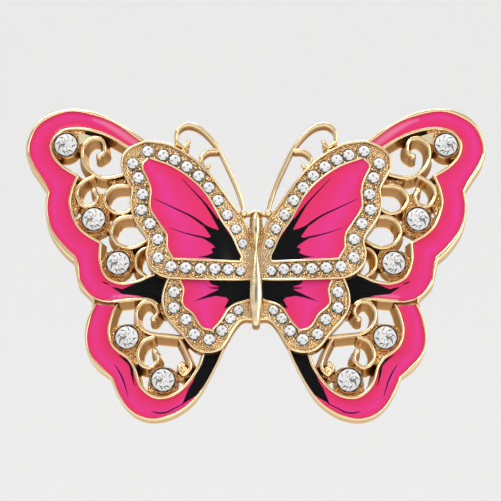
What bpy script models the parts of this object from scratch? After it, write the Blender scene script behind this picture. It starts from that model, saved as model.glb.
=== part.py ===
"""Butterfly brooch: two cast wing tiers, enamel fills, set stones, and a hinged pin with a roll-over catch.

The brooch stands upright as it is worn: +X to the viewer's right, +Z up, and the front faces -Y.
The back plane of the lower casting is y = 0, and heights below are millimetres in front of it.
Outlines are hand-picked points of the photograph's left half, smoothed and mirrored to the right.
"""

import math
from collections import defaultdict

import bpy
import numpy as np
from mathutils import Vector
from mathutils.geometry import delaunay_2d_cdt

# Units and the photograph's view
MM = 0.001
WING_SPAN = 56.9
PHOTO_SPAN = 455.0
PIXEL = WING_SPAN / PHOTO_SPAN
PHOTO_CENTRE = (256.0, 266.0)
VIEW_DISTANCE = 165.0
VIEW_TILT = math.radians(12.0)

# Heights of the lower casting
BACK = 0.0
ENAMEL_FLOOR = 1.3
ENAMEL_TOP = 2.5
PLATE_TOP = 1.6
SHOULDER_TOP = 2.3
RIM_TOP = 2.8
SCROLL_TOP = 2.9
BEZEL_TOP = 3.3
SEAT_FLOOR = 1.4
FOLD_START = 15.0
FOLD_SLOPE = 0.11

# Heights of the upper casting
UPPER_BACK = 1.65
FORE_RIM, FORE_BED, FORE_FLOOR, FORE_ENAMEL = 4.6, 4.0, 3.5, 4.35
HIND_RIM, HIND_BED, HIND_FLOOR, HIND_ENAMEL = 4.2, 3.6, 3.1, 3.95
ANTENNA_BACK, ANTENNA_TOP = 3.0, 4.2
ROOF_FLAT, ROOF_EDGE, ROOF_LOW = 1.0, 6.0, 0.5

# Widths and gaps, in millimetres
FIT_GAP = 0.05
PLATE_MARGIN = 0.1
INNER_RIM = 0.38
BED_RIM = 0.27
SCROLL_WIDTH = 0.5
ANTENNA_WIDTH = 0.42
BEZEL_RADIUS, SEAT_RADIUS, SHOULDER_RADIUS = 1.69, 1.5, 1.94
CRYSTAL_RADIUS, PAVE_RADIUS, PAVE_TABLE = 1.42, 0.66, 0.4
STRIP_WIDTH, STRIP_THICKNESS = 0.5, 0.12
PAVE_GIRDLE, PAVE_CROWN = 0.5, 0.22
PAVE_STEEP, PAVE_LEVEL, PAVE_NARROW = 1.5, 4.0, 0.78

# Sampling steps
OUTLINE_STEP = 1.5
SCROLL_STEP = 1.0
CURVE_STEPS = 16
CDT_EPSILON = 1e-4

# Back fittings, in millimetres
PIN_HEIGHT = 1.5
PIN_DEPTH = 4.85
PIN_TIP_X, PIN_POINT = 13.6, 2.4
PIN_TIP_LENGTH, PIN_TIP_SHARE = 0.1, 0.35
WIRE_RADIUS, WIRE_ROOT = 0.39, 0.3
HINGE_X = -11.5
JOINT_LENGTH = 2.4
KNUCKLE_RADIUS, KNUCKLE_HALF = 0.95, 0.4
EAR_GAP, EAR_THICKNESS, EAR_RISE = 0.45, 0.55, 1.0
RIVET_RADIUS, RIVET_HOLE = 0.4, 0.45
RIVET_HEAD, RIVET_HEAD_THICK = 0.7, 0.25
PAD_THICKNESS, PAD_HALF = 0.5, 1.6
CATCH_X = (10.2, 12.3)
CATCH_INNER, CATCH_OUTER = 1.25, 1.75
CATCH_MOUTH = math.radians(38.0)
ROTOR_X = (9.6, 12.9)
ROTOR_BORE, ROTOR_OUTER = 0.62, 1.2
ROTOR_SLOT = 0.5
FLANGE_RADIUS, FLANGE_THICK = 1.55, 0.5
FLANGE_ARC = (math.radians(70.0), math.radians(200.0))
LEVER_RADIUS, LEVER_THICK = 2.7, 0.5
LEVER_ARC = (math.radians(-68.0), math.radians(-42.0))
LEVER_ROOT_ARC = (math.radians(-35.0), math.radians(-75.0))
STALK_SHARE, ROOT_SHARE = 0.6, 0.9
WIRE_SIDES, RIVET_SIDES, HOLE_SIDES, ROTOR_SIDES = 12, 20, 24, 32
CATCH_STEPS, FLANGE_STEPS, LEVER_STEPS = 22, 12, 5

# Lower forewing: front edge of the rim, in photo pixels, as runs that meet at corners
FORE_EDGE = [
    [(149, 142), (131, 130.4), (115, 121.4), (95.6, 112), (71, 108.6), (48.5, 113.5), (33.8, 126),
     (26, 147), (30, 164.5), (38.5, 178), (47, 191)],
    [(47, 191), (45.3, 208), (49.5, 231), (62, 250), (74, 261), (76.5, 274), (80, 286), (92, 299),
     (94, 305)],
]
FORE_EDGE_CLOSE = [(120, 305), (160, 303), (190, 290), (215, 250), (200, 190), (170, 152)]
FORE_CELL_OUTER = [
    [(150, 147), (141, 141.5), (120, 126.5), (100, 117), (72, 111.3), (50, 117.5), (36, 129),
     (29.4, 148), (34, 164), (44.5, 180.5), (49.7, 191.5)],
    [(49.7, 191.5), (47.6, 208), (52, 228), (64, 244.5), (76, 256), (79, 266), (80.5, 279),
     (88, 291.5), (95, 296.8)],
    [(95, 296.8), (107, 300), (128, 297.6), (146, 296.3), (160, 303)],
]
FORE_CELL_CLOSE = [(176, 302), (176, 276)]
FORE_CELL_INNER = [
    [(138, 151), (118, 139), (104, 132.2), (88, 127.6), (74, 126.6), (60, 130), (49.8, 142),
     (51.5, 155.5), (61, 167), (75.5, 176.3)],
    [(75.5, 176.3), (70, 190), (68.4, 205), (75, 224.4), (85, 235), (98.8, 243.2)],
    [(98.8, 243.2), (98.4, 261), (105, 277.5), (120, 284.5), (137, 282.5), (160, 273)],
]
FORE_OPEN_CLOSE = [(185, 262), (165, 215), (160, 180), (150, 158)]

# Lower hindwing
HIND_EDGE = [
    [(94, 305), (87, 320), (84.7, 337), (88, 354), (97, 367), (110, 377), (116.2, 392), (125, 406),
     (138, 416.4), (155, 420), (176, 414.5), (196, 399), (212, 373), (226, 344), (239, 322),
     (256, 324)],
]
HIND_EDGE_CLOSE = [(256, 290), (185, 285), (150, 301), (120, 303)]
HIND_CELL_OUTER = [
    [(96.5, 303.8), (91, 317), (87.2, 337), (91, 354), (102, 366.5), (113, 377), (119, 392),
     (129, 408), (144, 416.6), (160, 417.4), (182, 408.5), (200, 391), (214, 367), (224, 344)],
]
HIND_CELL_CLOSE = [(205, 340)]
HIND_CELL_INNER = [
    [(205.5, 352), (200, 367.8), (186, 387), (170, 397.5), (153, 398), (139, 386.5), (132.6, 368),
     (127, 359)],
    [(127, 359), (112, 347), (107, 331), (110.5, 314), (114.5, 306)],
    [(114.5, 306), (112, 303.6), (96.5, 303.8)],
]
HIND_OPEN = [
    [(118, 303.5), (113.5, 314.5), (110.2, 331), (114.5, 345), (129, 356.5)],
    [(129, 356.5), (135.8, 368), (142, 385), (154.5, 395), (169, 394.5), (183.5, 385), (196.5, 367),
     (202, 352)],
    [(202, 352), (205, 340), (180, 312), (170, 300), (150, 300.5), (132, 301.3), (118, 303.5)],
]

# Scroll strokes of the lower tier, centre lines in photo pixels
SCROLLS = [
    [(99, 156), (104.6, 150.5), (102, 140), (92, 138), (83, 147), (83.5, 161), (92, 172.5),
     (105.5, 177.6), (128, 173)],
    [(95, 175), (82, 182.5), (76.8, 193), (82, 204.8), (92, 205), (97, 197), (93.5, 189.5)],
    [(142, 188), (129.7, 185.3), (113, 187), (104.4, 198), (110.3, 209.8), (123, 212.6), (138, 205)],
    [(143, 219), (129.8, 216), (117.4, 219.4), (111.2, 231), (116.8, 242.7), (129.8, 247.5),
     (144.4, 242), (156, 233)],
    [(154, 245), (141, 250.5), (136, 259), (137.5, 269), (146.5, 276.5)],
    [(153.5, 318.8), (157.8, 311), (152, 302.2), (143, 302), (136.3, 312), (139.5, 325.5), (150, 333),
     (168, 335.5), (192, 338)],
    [(155, 336), (143, 341.5), (137.6, 354), (141.5, 364.5), (150.5, 367), (157.5, 359), (154.5, 350.5)],
    [(179, 337), (186.5, 352), (190.5, 366), (184, 374.3), (178.8, 367.5), (182.5, 364)],
]
# Flat gussets that tie the third collar to the scrolls and rim round it
WEBS = [
    [(112, 259), (105.5, 258)],
    [(120, 268), (120, 276)],
    [(126, 262), (132, 262)],
    [(124, 252), (126, 249)],
]
WEB_WIDTH = 1.2
CRYSTALS = {
    "forewing_tip": (66, 145.3),
    "forewing_middle": (93.8, 219.7),
    "forewing_lower": (118.2, 263.5),
    "hindwing_outer": (126.8, 337.8),
    "hindwing_lower": (163.1, 380.5),
}

# Upper tier outlines, cells and stones
UPPER_FORE = [
    [(141, 144), (149, 142.5), (168, 145.4), (188, 156), (204, 169.5), (220, 189), (232.5, 206.5),
     (241.5, 218), (248, 234), (252, 245)],
    [(252, 245), (257, 247)],
    [(257, 247), (257, 279)],
    [(257, 279), (230, 279.3), (190, 278), (165, 275.5), (151.5, 266), (147.6, 253), (149.2, 238),
     (136.5, 219), (131.8, 203), (133, 188), (123.5, 169.3), (124, 157), (131, 148.7), (141, 144)],
]
FORE_CELL = [
    [(149, 158.7), (143.3, 166), (149, 179.5), (151.7, 190), (151.2, 206.8), (160, 222), (167.5, 234),
     (168.3, 247), (174, 257.5)],
    [(174, 257.5), (212, 259.3), (239, 260.5)],
    [(239, 260.5), (234.7, 243.5), (223.5, 223), (206.2, 195.7), (192, 180.4), (172.4, 167),
     (149, 158.7)],
]
UPPER_HIND = [
    [(172, 272), (164, 295), (167, 313), (182, 331), (194, 346), (207.8, 350.5), (221, 346),
     (233.3, 327), (243, 317.5), (257, 318)],
    [(257, 318), (257, 265)],
    [(257, 265), (172, 272)],
]
HIND_CELL = [
    [(181, 279.6), (184.5, 289), (183.5, 303), (193.7, 313), (202, 325.5), (211.6, 329), (220, 320),
     (231, 305), (247.3, 297.6)],
    [(247.3, 297.6), (249.6, 279.6)],
    [(249.6, 279.6), (181, 279.6)],
]
PAVE_ROWS = {
    "fore_upper": [(147.8, 151), (163, 155), (175, 159.7), (187, 166.6), (198.7, 175.8), (208.9, 187.3),
                   (218.3, 200.1), (227.5, 214.6), (236, 228.8), (242.8, 243.3)],
    "fore_outer": [(132.6, 163.5), (138.3, 177.5), (142.4, 194), (141.5, 209.6), (150, 223.4),
                   (157.8, 239), (158, 257.4)],
    "fore_lower": [(171, 266.3), (185.7, 267.5), (200.3, 268.4), (215, 268.6), (228.4, 269.2),
                   (240.8, 270.8)],
    "hind": [(174, 291.9), (174, 307.6), (186, 319.3), (194.4, 334), (209.3, 339.4), (222, 330.6),
             (230.3, 318.4), (238.6, 310)],
}
ANTENNA = [(237, 217), (243.7, 212), (238.2, 190), (228.5, 167.4), (217.4, 146), (202, 129),
           (188, 123.8), (178, 129), (176.5, 141), (184, 146.4), (189, 141.5)]
ANTENNA_BRANCH = [(219, 150), (208, 151), (201, 157.5), (204, 166), (209, 166)]
ANTENNA_LUMPS = [(183, 151), (204, 169)]
LUMP_RADIUS = 0.5

# Body spindle: radius at each photo height, both in pixels, from head to tail
SPINDLE = [(0, 213), (2.6, 216), (4.0, 228), (3.0, 240), (1.5, 248), (2.5, 260), (4.2, 275), (5.6, 290),
           (5.4, 303), (4.0, 317), (0, 324)]
SPINDLE_AXIS = 4.05
SPINDLE_FLAT = 3.18
SPINDLE_SIDES = 14

# Turned stone: radius and height as shares of its girdle radius
GEM_PROFILE = [(0, -1.0), (1.0, -0.08), (1.0, 0.08), (0.62, 0.38), (0, 0.38)]
CRYSTAL_GIRDLE = 3.0
CRYSTAL_SIDES = 12
PAVE_SIDES = 8
BEZEL_SIDES = 14


def clear_scene():
    for obj in list(bpy.data.objects):
        bpy.data.objects.remove(obj, do_unlink=True)


def finish(name, colour, roughness, metallic):
    """A Principled material of one plain finish."""
    material = bpy.data.materials.new(name)
    material.use_nodes = True
    shader = material.node_tree.nodes["Principled BSDF"]
    shader.inputs["Base Color"].default_value = (*colour, 1.0)
    shader.inputs["Roughness"].default_value = roughness
    shader.inputs["Metallic"].default_value = metallic
    return material


def droop(x):
    """How far the wing lies behind the flat middle, outside the fold line."""
    return FOLD_SLOPE * np.maximum(np.abs(x) - FOLD_START, 0.0)


def roof(x):
    """The share of its height that the upper tier keeps: less beside the body, all of it further out."""
    rise = np.clip((np.abs(x) - ROOF_FLAT) / (ROOF_EDGE - ROOF_FLAT), 0.0, 1.0)
    return ROOF_LOW + (1.0 - ROOF_LOW) * rise


def pave_size(x):
    """The share of its radius that a small stone shows in plan, less on the steep part by the body."""
    return np.interp(np.abs(x), (PAVE_STEEP, PAVE_LEVEL), (PAVE_NARROW, 1.0))


def plane(pixels, height=RIM_TOP):
    """Photo pixels to millimetres in the wing plane, for points this far in front of the back.

    The photograph looks up by VIEW_TILT, so a nearer point shows higher and larger.
    """
    across = (np.asarray(pixels, float) - PHOTO_CENTRE) * PIXEL
    depth = height - RIM_TOP - droop(across[:, 0])
    nearer = 1.0 - depth / VIEW_DISTANCE
    x = across[:, 0] * nearer
    z = (-across[:, 1] * nearer - depth * math.sin(VIEW_TILT)) / math.cos(VIEW_TILT)
    return np.column_stack([x, z])


def smooth(points, step):
    """An open Catmull-Rom curve through the points, read at an even spacing near step."""
    points = np.asarray(points, float)
    if len(points) > 2:
        ends = [2 * points[0] - points[1]], points, [2 * points[-1] - points[-2]]
        ring = np.vstack(ends)
        before, start, end, after = ring[:-3, None], ring[1:-2, None], ring[2:-1, None], ring[3:, None]
        t = np.linspace(0, 1, CURVE_STEPS, endpoint=False)[None, :, None]
        linear = end - before
        square = 2 * before - 5 * start + 4 * end - after
        cubic = 3 * start - before - 3 * end + after
        dense = 0.5 * (2 * start + linear * t + square * t**2 + cubic * t**3)
        points = np.vstack([dense.reshape(-1, 2), points[-1:]])
    along = np.concatenate([[0.0], np.cumsum(np.linalg.norm(np.diff(points, axis=0), axis=1))])
    count = max(2, int(round(along[-1] / step)) + 1)
    places = np.linspace(0, along[-1], count)
    return np.column_stack([np.interp(places, along, points[:, axis]) for axis in (0, 1)])


def outline(runs, height=RIM_TOP, close=(), step=OUTLINE_STEP):
    """A closed outline from runs that meet at corners, and corner points that close it."""
    parts = [smooth(plane(run, height), step)[:-1] for run in runs]
    parts.append(plane([runs[-1][-1]], height))
    if len(close):
        parts.append(plane(close, height))
    points = np.vstack(parts)
    if np.linalg.norm(points[0] - points[-1]) < CDT_EPSILON:
        points = points[:-1]
    return points


def offset(polygon, distance):
    """The outline moved outwards by the distance, or inwards where it is negative, with mitred corners."""
    following = np.roll(polygon, -1, axis=0) - polygon
    following /= np.linalg.norm(following, axis=1)[:, None]
    leading = np.roll(following, 1, axis=0)
    area = np.cross(polygon, np.roll(polygon, -1, axis=0)).sum()
    turn = np.sign(area) * np.array([1.0, -1.0])
    normal = following[:, ::-1] * turn + leading[:, ::-1] * turn
    share = np.maximum((normal**2).sum(axis=1) / 2.0, 0.6)
    return polygon + normal * (distance / share)[:, None]


def stroke(line, width):
    """The outline of a stroke of even width with pointed round ends."""
    along = np.gradient(line, axis=0)
    along /= np.linalg.norm(along, axis=1)[:, None]
    side = np.column_stack([-along[:, 1], along[:, 0]]) * width / 2.0
    head = line[:1] - along[:1] * width / 2.0
    tail = line[-1:] + along[-1:] * width / 2.0
    return np.vstack([head, line + side, tail, (line - side)[::-1]])


def circle(centre, radius, sides, start=0.0):
    angles = start + np.arange(sides) * 2 * math.pi / sides
    return np.asarray(centre) + radius * np.column_stack([np.cos(angles), np.sin(angles)])


def mirrored(polygon):
    return polygon * (-1.0, 1.0)


def inside(points, polygon):
    """Which points lie inside the outline, by counting crossings."""
    x, y = points[:, :1], points[:, 1:]
    x0, y0 = polygon.T
    x1, y1 = np.roll(polygon, -1, axis=0).T
    crosses = (y0 > y) != (y1 > y)
    rise = np.where(y1 == y0, 1.0, y1 - y0)
    return (crosses & (x < x0 + (y - y0) * (x1 - x0) / rise)).sum(axis=1) % 2 == 1


def layer_heights(centres, layers):
    """The lowest and highest level of each triangle, after every layer is laid in turn."""
    low = np.zeros(len(centres))
    high = np.zeros(len(centres))
    for polygon, bottom, top, rule in layers:
        within = inside(centres, polygon)
        if rule == "raise":
            fresh = within & (high <= low)
            higher = within & (high > low)
            low[fresh] = bottom
            high[fresh] = top
            high[higher] = np.maximum(high[higher], top)
        else:
            low[within] = bottom
            high[within] = top
    return low, high


def arrangement(layers, guides):
    """All outlines cut against each other into triangles."""
    points, edges = [], []
    for polygon in [layer[0] for layer in layers]:
        first = len(points)
        points.extend(Vector(point) for point in polygon)
        edges.extend((first + i, first + (i + 1) % len(polygon)) for i in range(len(polygon)))
    for guide in guides:
        first = len(points)
        points.extend(Vector(point) for point in guide)
        edges.extend((first + i, first + i + 1) for i in range(len(guide) - 1))
    found = delaunay_2d_cdt(points, edges, [], 0, CDT_EPSILON)
    return np.array([tuple(point) for point in found[0]]), [tuple(face) for face in found[2]]


def exposed(mine, other):
    """The stretches of one side wall that the neighbour's solid leaves open."""
    low, high = mine
    if other is None:
        return [(low, high)]
    stretches = []
    if high > other[1]:
        stretches.append((max(low, other[1]), high))
    if low < other[0]:
        stretches.append((low, min(high, other[0])))
    return stretches


def relief(layers, guides=()):
    """A closed stepped solid: (u, v, level) points and faces, from outlines laid in turn."""
    flat, triangles = arrangement(layers, guides)
    low, high = layer_heights(np.array([flat[list(face)].mean(axis=0) for face in triangles]), layers)
    spans, levels = {}, defaultdict(set)
    solid = [i for i in range(len(triangles)) if high[i] > low[i]]
    for i in solid:
        a, b, c = triangles[i]
        for edge in ((a, b), (b, c), (c, a)):
            spans[edge] = (low[i], high[i])
        for corner in triangles[i]:
            levels[corner].update((low[i], high[i]))
    index, points, faces = {}, [], []

    def at(corner, level):
        key = (corner, level)
        if key not in index:
            index[key] = len(points)
            points.append((*flat[corner], level))
        return index[key]

    for i in solid:
        a, b, c = triangles[i]
        faces.append([at(a, high[i]), at(b, high[i]), at(c, high[i])])
        faces.append([at(c, low[i]), at(b, low[i]), at(a, low[i])])
    for (a, b), span in spans.items():
        for start, end in exposed(span, spans.get((b, a))):
            rising = sorted(level for level in levels[b] if start <= level <= end)
            falling = sorted((level for level in levels[a] if start <= level <= end), reverse=True)
            faces.append([at(a, start)] + [at(b, level) for level in rising]
                         + [at(a, level) for level in falling if level > start])
    return np.array(points), faces


def lathe(profile, sides):
    """A closed turned solid from (radius, height) pairs that start and end on the axis, low to high."""
    angles = np.arange(sides) * 2 * math.pi / sides
    rings = [np.column_stack([r * np.cos(angles), r * np.sin(angles), np.full(sides, h)])
             for r, h in profile[1:-1]]
    points = np.vstack([[(0, 0, profile[0][1])], *rings, [(0, 0, profile[-1][1])]])
    ring = np.arange(sides)
    after = (ring + 1) % sides
    faces = [[0, 1 + b, 1 + a] for a, b in zip(ring, after)]
    for row in range(len(rings) - 1):
        first = 1 + row * sides
        faces += [[first + a, first + b, first + sides + b, first + sides + a]
                  for a, b in zip(ring, after)]
    last = 1 + (len(rings) - 1) * sides
    faces += [[last + a, last + b, len(points) - 1] for a, b in zip(ring, after)]
    return points, faces


def on_wing(points):
    """(u, v, level) on the lower tier to x, y, z."""
    return np.column_stack([points[:, 0], droop(points[:, 0]) - points[:, 2], points[:, 1]])


def on_upper(points):
    """(u, v, level) on the upper tier, lowered beside the body, to x, y, z."""
    level = UPPER_BACK + (points[:, 2] - UPPER_BACK) * roof(points[:, 0])
    return np.column_stack([points[:, 0], -level, points[:, 1]])


def along_x(points):
    """A section in y and z, carried along x."""
    return points[:, [2, 0, 1]]


def add(name, points, faces, material, origin=(0.0, 0.0, 0.0), smooth_angle=30.0):
    """One named solid, with its mesh measured from its origin."""
    mesh = bpy.data.meshes.new(name)
    local = (np.asarray(points) - origin) * MM
    mesh.from_pydata([tuple(point) for point in local], [], [list(map(int, face)) for face in faces])
    mesh.materials.append(material)
    mesh.shade_smooth()
    mesh.set_sharp_from_angle(angle=math.radians(smooth_angle))
    obj = bpy.data.objects.new(name, mesh)
    obj.location = Vector(origin) * MM
    bpy.context.collection.objects.link(obj)
    return obj


def helper(name, points, faces, material, origin):
    """A hidden cutter or tool for a Boolean."""
    obj = add(name, points, faces, material, origin)
    obj.hide_render = True
    obj.display_type = "WIRE"
    return obj


def boolean(obj, other, operation):
    modifier = obj.modifiers.new(other.name, "BOOLEAN")
    modifier.operation = operation
    modifier.object = other


def both_sides(layers):
    """Left layers followed by their mirror images, rule by rule, so that later rules still win."""
    return [each for polygon, low, high, rule in layers
            for each in ((polygon, low, high, rule), (mirrored(polygon), low, high, rule))]


def fold_guides(places):
    """Straight lines across the wings where a surface changes slope."""
    reach = WING_SPAN / 2
    return [np.array([(side * x, -reach), (side * x, reach)]) for x in places for side in (-1, 1)]


def upper_outlines(margin):
    """The plan of the upper tier's two wings on the left, grown by the margin."""
    return [offset(outline(UPPER_FORE, FORE_RIM), margin), offset(outline(UPPER_HIND, HIND_RIM), margin)]


def fore_cell_outline():
    inner = [run[::-1] for run in FORE_CELL_INNER[::-1]]
    outer = outline(FORE_CELL_OUTER, close=FORE_CELL_CLOSE)
    return np.vstack([outer, outline(inner)])


def fore_open_outline():
    ring = outline(FORE_CELL_INNER, close=FORE_OPEN_CLOSE)
    return offset(ring, -INNER_RIM)


def hind_cell_outline():
    outer = outline(HIND_CELL_OUTER, close=HIND_CELL_CLOSE)
    return np.vstack([outer, outline(HIND_CELL_INNER)[:-1]])


def lower_casting(gold):
    """Rimmed and scrolled lower wings, with stone seats, round a flat middle plate."""
    layers = [
        (outline(FORE_EDGE, close=FORE_EDGE_CLOSE), BACK, RIM_TOP, "raise"),
        (outline(HIND_EDGE, close=HIND_EDGE_CLOSE), BACK, RIM_TOP, "raise"),
        (fore_cell_outline(), BACK, ENAMEL_FLOOR, "set"),
        (hind_cell_outline(), BACK, ENAMEL_FLOOR, "set"),
        (fore_open_outline(), BACK, BACK, "set"),
        (outline(HIND_OPEN), BACK, BACK, "set"),
    ]
    centres = [plane([place])[0] for place in CRYSTALS.values()]
    layers += [(circle(c, SHOULDER_RADIUS, BEZEL_SIDES), BACK, SHOULDER_TOP, "raise") for c in centres]
    layers += [(stroke(plane(line), WEB_WIDTH), BACK, SHOULDER_TOP, "raise") for line in WEBS]
    layers += [(stroke(smooth(plane(line), SCROLL_STEP), SCROLL_WIDTH), BACK, SCROLL_TOP, "raise")
               for line in SCROLLS]
    layers += [(circle(c, BEZEL_RADIUS, BEZEL_SIDES), BACK, BEZEL_TOP, "raise") for c in centres]
    layers += [(circle(c, SEAT_RADIUS, BEZEL_SIDES), BACK, SEAT_FLOOR, "set") for c in centres]
    layers += [(plan, BACK, PLATE_TOP, "set") for plan in upper_outlines(PLATE_MARGIN)]
    points, faces = relief(both_sides(layers), fold_guides([FOLD_START]))
    add("lower_wing_casting", on_wing(points), faces, gold)


def lower_enamel(pink):
    """The coloured glass in the channels of the lower wings."""
    plan = upper_outlines(2 * PLATE_MARGIN)
    for wing, cell in (("forewing", fore_cell_outline()), ("hindwing", hind_cell_outline())):
        fill = offset(cell, -FIT_GAP)
        for side, place in (("left", np.asarray), ("right", mirrored)):
            layers = [(place(fill), ENAMEL_FLOOR + FIT_GAP, ENAMEL_TOP, "raise")]
            layers += [(place(each), BACK, BACK, "set") for each in plan]
            points, faces = relief(layers, fold_guides([FOLD_START]))
            add(f"lower_{wing}_enamel_{side}", on_wing(points), faces, pink)


def upper_wing_layers(outer, cell, height, rim, bed, floor):
    """Outer rim, stone bed, inner rim and enamel cell, each inside the one before."""
    edge = outline(outer, height)
    return [
        (edge, UPPER_BACK, rim, "set"),
        (offset(edge, -BED_RIM), UPPER_BACK, bed, "set"),
        (offset(outline(cell, height), BED_RIM), UPPER_BACK, rim, "set"),
        (outline(cell, height), UPPER_BACK, floor, "set"),
    ]


def upper_casting(gold):
    """The four inner wings, with their stone beds and cells, and the two antennae."""
    layers = upper_wing_layers(UPPER_HIND, HIND_CELL, HIND_RIM, HIND_RIM, HIND_BED, HIND_FLOOR)
    layers += upper_wing_layers(UPPER_FORE, FORE_CELL, FORE_RIM, FORE_RIM, FORE_BED, FORE_FLOOR)
    strands = [stroke(smooth(plane(line, ANTENNA_TOP), SCROLL_STEP), ANTENNA_WIDTH)
               for line in (ANTENNA, ANTENNA_BRANCH)]
    strands += [circle(plane([place], ANTENNA_TOP)[0], LUMP_RADIUS, BEZEL_SIDES) for place in ANTENNA_LUMPS]
    layers += [(strand, ANTENNA_BACK, ANTENNA_TOP, "raise") for strand in strands]
    points, faces = relief(both_sides(layers), fold_guides([ROOF_FLAT, ROOF_EDGE]))
    add("upper_wing_casting", on_upper(points), faces, gold)


def upper_enamel(pink):
    """The coloured glass in the cells of the inner wings."""
    cells = (("forewing", FORE_CELL, FORE_RIM, FORE_FLOOR, FORE_ENAMEL),
             ("hindwing", HIND_CELL, HIND_RIM, HIND_FLOOR, HIND_ENAMEL))
    for wing, cell, height, floor, top in cells:
        fill = offset(outline(cell, height), -FIT_GAP)
        for side, place in (("left", np.asarray), ("right", mirrored)):
            layers = [(place(fill), floor + FIT_GAP, top, "raise")]
            points, faces = relief(layers, fold_guides([ROOF_FLAT, ROOF_EDGE]))
            add(f"upper_{wing}_enamel_{side}", on_upper(points), faces, pink)


def crystals(glass):
    """The large round stones, each in its own collar."""
    profile = [(r * CRYSTAL_RADIUS, h * CRYSTAL_RADIUS) for r, h in GEM_PROFILE]
    stone, faces = lathe(profile, CRYSTAL_SIDES)
    for name, place in CRYSTALS.items():
        u, v = plane([place])[0]
        for side, sign in (("left", 1), ("right", -1)):
            centre = np.array([[sign * u, v, CRYSTAL_GIRDLE]])
            add(f"crystal_{name}_{side}", on_wing(stone + centre), faces, glass,
                on_wing(centre)[0], smooth_angle=5.0)


def pave_stones(glass):
    """Each row of small stones, joined under the girdles by its strip of setting cement."""
    for row, places in PAVE_ROWS.items():
        rim, bed = (HIND_RIM, HIND_BED) if row == "hind" else (FORE_RIM, FORE_BED)
        centres = plane(places, rim)
        strip = stroke(centres, STRIP_WIDTH)
        bottom = bed + FIT_GAP
        layers = [(strip, bottom, bottom + STRIP_THICKNESS, "raise")]
        girdle = bottom + PAVE_GIRDLE
        for radius in (PAVE_RADIUS, PAVE_TABLE):
            layers += [(circle(c, radius * pave_size(c[0]), PAVE_SIDES), bottom, girdle, "raise")
                       for c in centres]
        points, faces = relief(layers, fold_guides([ROOF_FLAT, ROOF_EDGE]))
        reach = np.linalg.norm(points[:, None, :2] - centres, axis=2).min(axis=1)
        points[(points[:, 2] == girdle) & (reach < PAVE_TABLE + FIT_GAP), 2] += PAVE_CROWN
        add(f"pave_{row}_left", on_upper(points), faces, glass)
        add(f"pave_{row}_right", on_upper(points) * (-1, 1, 1), [face[::-1] for face in faces], glass)


def body_spindle(gold):
    """The round-fronted body, lying flat-backed along the middle from head to tail."""
    rows = plane([(PHOTO_CENTRE[0] + r, y) for r, y in SPINDLE[::-1]], SPINDLE_AXIS)
    profile = [(0.0 if row[0] < PIXEL / 2 else row[0], row[1]) for row in rows]
    points, faces = lathe(profile, SPINDLE_SIDES)
    points[points[:, 1] > FIT_GAP, 1] = SPINDLE_AXIS - SPINDLE_FLAT
    add("body_spindle", points - (0, SPINDLE_AXIS, 0), faces, gold, (0, -SPINDLE_AXIS, 0))


def pin_joint(gold):
    """The U-shaped joint that carries the pin, drilled for its rivet."""
    outer, inner = EAR_GAP + EAR_THICKNESS, EAR_GAP
    top, pad = PIN_DEPTH + EAR_RISE, FIT_GAP + PAD_THICKNESS
    section = np.array([(FIT_GAP, -PAD_HALF), (pad, -PAD_HALF), (pad, -outer), (top, -outer), (top, -inner),
                        (pad, -inner), (pad, inner), (top, inner), (top, outer), (pad, outer),
                        (pad, PAD_HALF), (FIT_GAP, PAD_HALF)]) + (0, PIN_HEIGHT)
    ends = HINGE_X - JOINT_LENGTH / 2, HINGE_X + JOINT_LENGTH / 2
    points, faces = relief([(section, *ends, "raise")])
    joint = add("pin_joint", along_x(points), faces, gold)
    drill, drill_faces = lathe([(0, -outer - 1), (RIVET_HOLE, -outer - 1), (RIVET_HOLE, outer + 1),
                                (0, outer + 1)], HOLE_SIDES)
    centre = (HINGE_X, PIN_DEPTH, PIN_HEIGHT)
    boolean(joint, helper("rivet_drill", drill + centre, drill_faces, gold, centre), "DIFFERENCE")


def hinge_rivet(steel):
    """The headed rivet through both ears of the joint."""
    inner = EAR_GAP + EAR_THICKNESS + FIT_GAP
    outer = inner + RIVET_HEAD_THICK
    profile = [(0, -outer), (RIVET_HEAD, -outer), (RIVET_HEAD, -inner), (RIVET_RADIUS, -inner),
               (RIVET_RADIUS, inner), (RIVET_HEAD, inner), (RIVET_HEAD, outer), (0, outer)]
    points, faces = lathe(profile, RIVET_SIDES)
    centre = (HINGE_X, PIN_DEPTH, PIN_HEIGHT)
    add("hinge_rivet", points + centre, faces, steel, centre)


def pin_stem(steel):
    """The pointed wire and the flat eye that turns on the rivet."""
    centre = (HINGE_X, PIN_DEPTH, PIN_HEIGHT)
    layers = [(circle((0, 0), KNUCKLE_RADIUS, RIVET_SIDES), -KNUCKLE_HALF, KNUCKLE_HALF, "raise"),
              (circle((0, 0), RIVET_HOLE, HOLE_SIDES), 0.0, 0.0, "set")]
    points, faces = relief(layers)
    stem = add("pin_stem", points + centre, faces, steel, centre)
    start, tip = HINGE_X + KNUCKLE_RADIUS - WIRE_ROOT, PIN_TIP_X
    profile = [(0, start), (WIRE_RADIUS, start), (WIRE_RADIUS, tip - PIN_POINT),
               (WIRE_RADIUS * PIN_TIP_SHARE, tip - PIN_TIP_LENGTH), (0, tip)]
    wire, wire_faces = lathe(profile, WIRE_SIDES)
    wire = along_x(wire) + (0, PIN_DEPTH, PIN_HEIGHT)
    boolean(stem, helper("pin_wire", wire, wire_faces, steel, centre), "UNION")


def arc(radius, start, end, steps):
    """Points round the pin's axis, with the angle measured from straight back towards up."""
    angles = np.linspace(start, end, steps)
    return np.column_stack([PIN_DEPTH + radius * np.cos(angles), PIN_HEIGHT + radius * np.sin(angles)])


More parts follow.
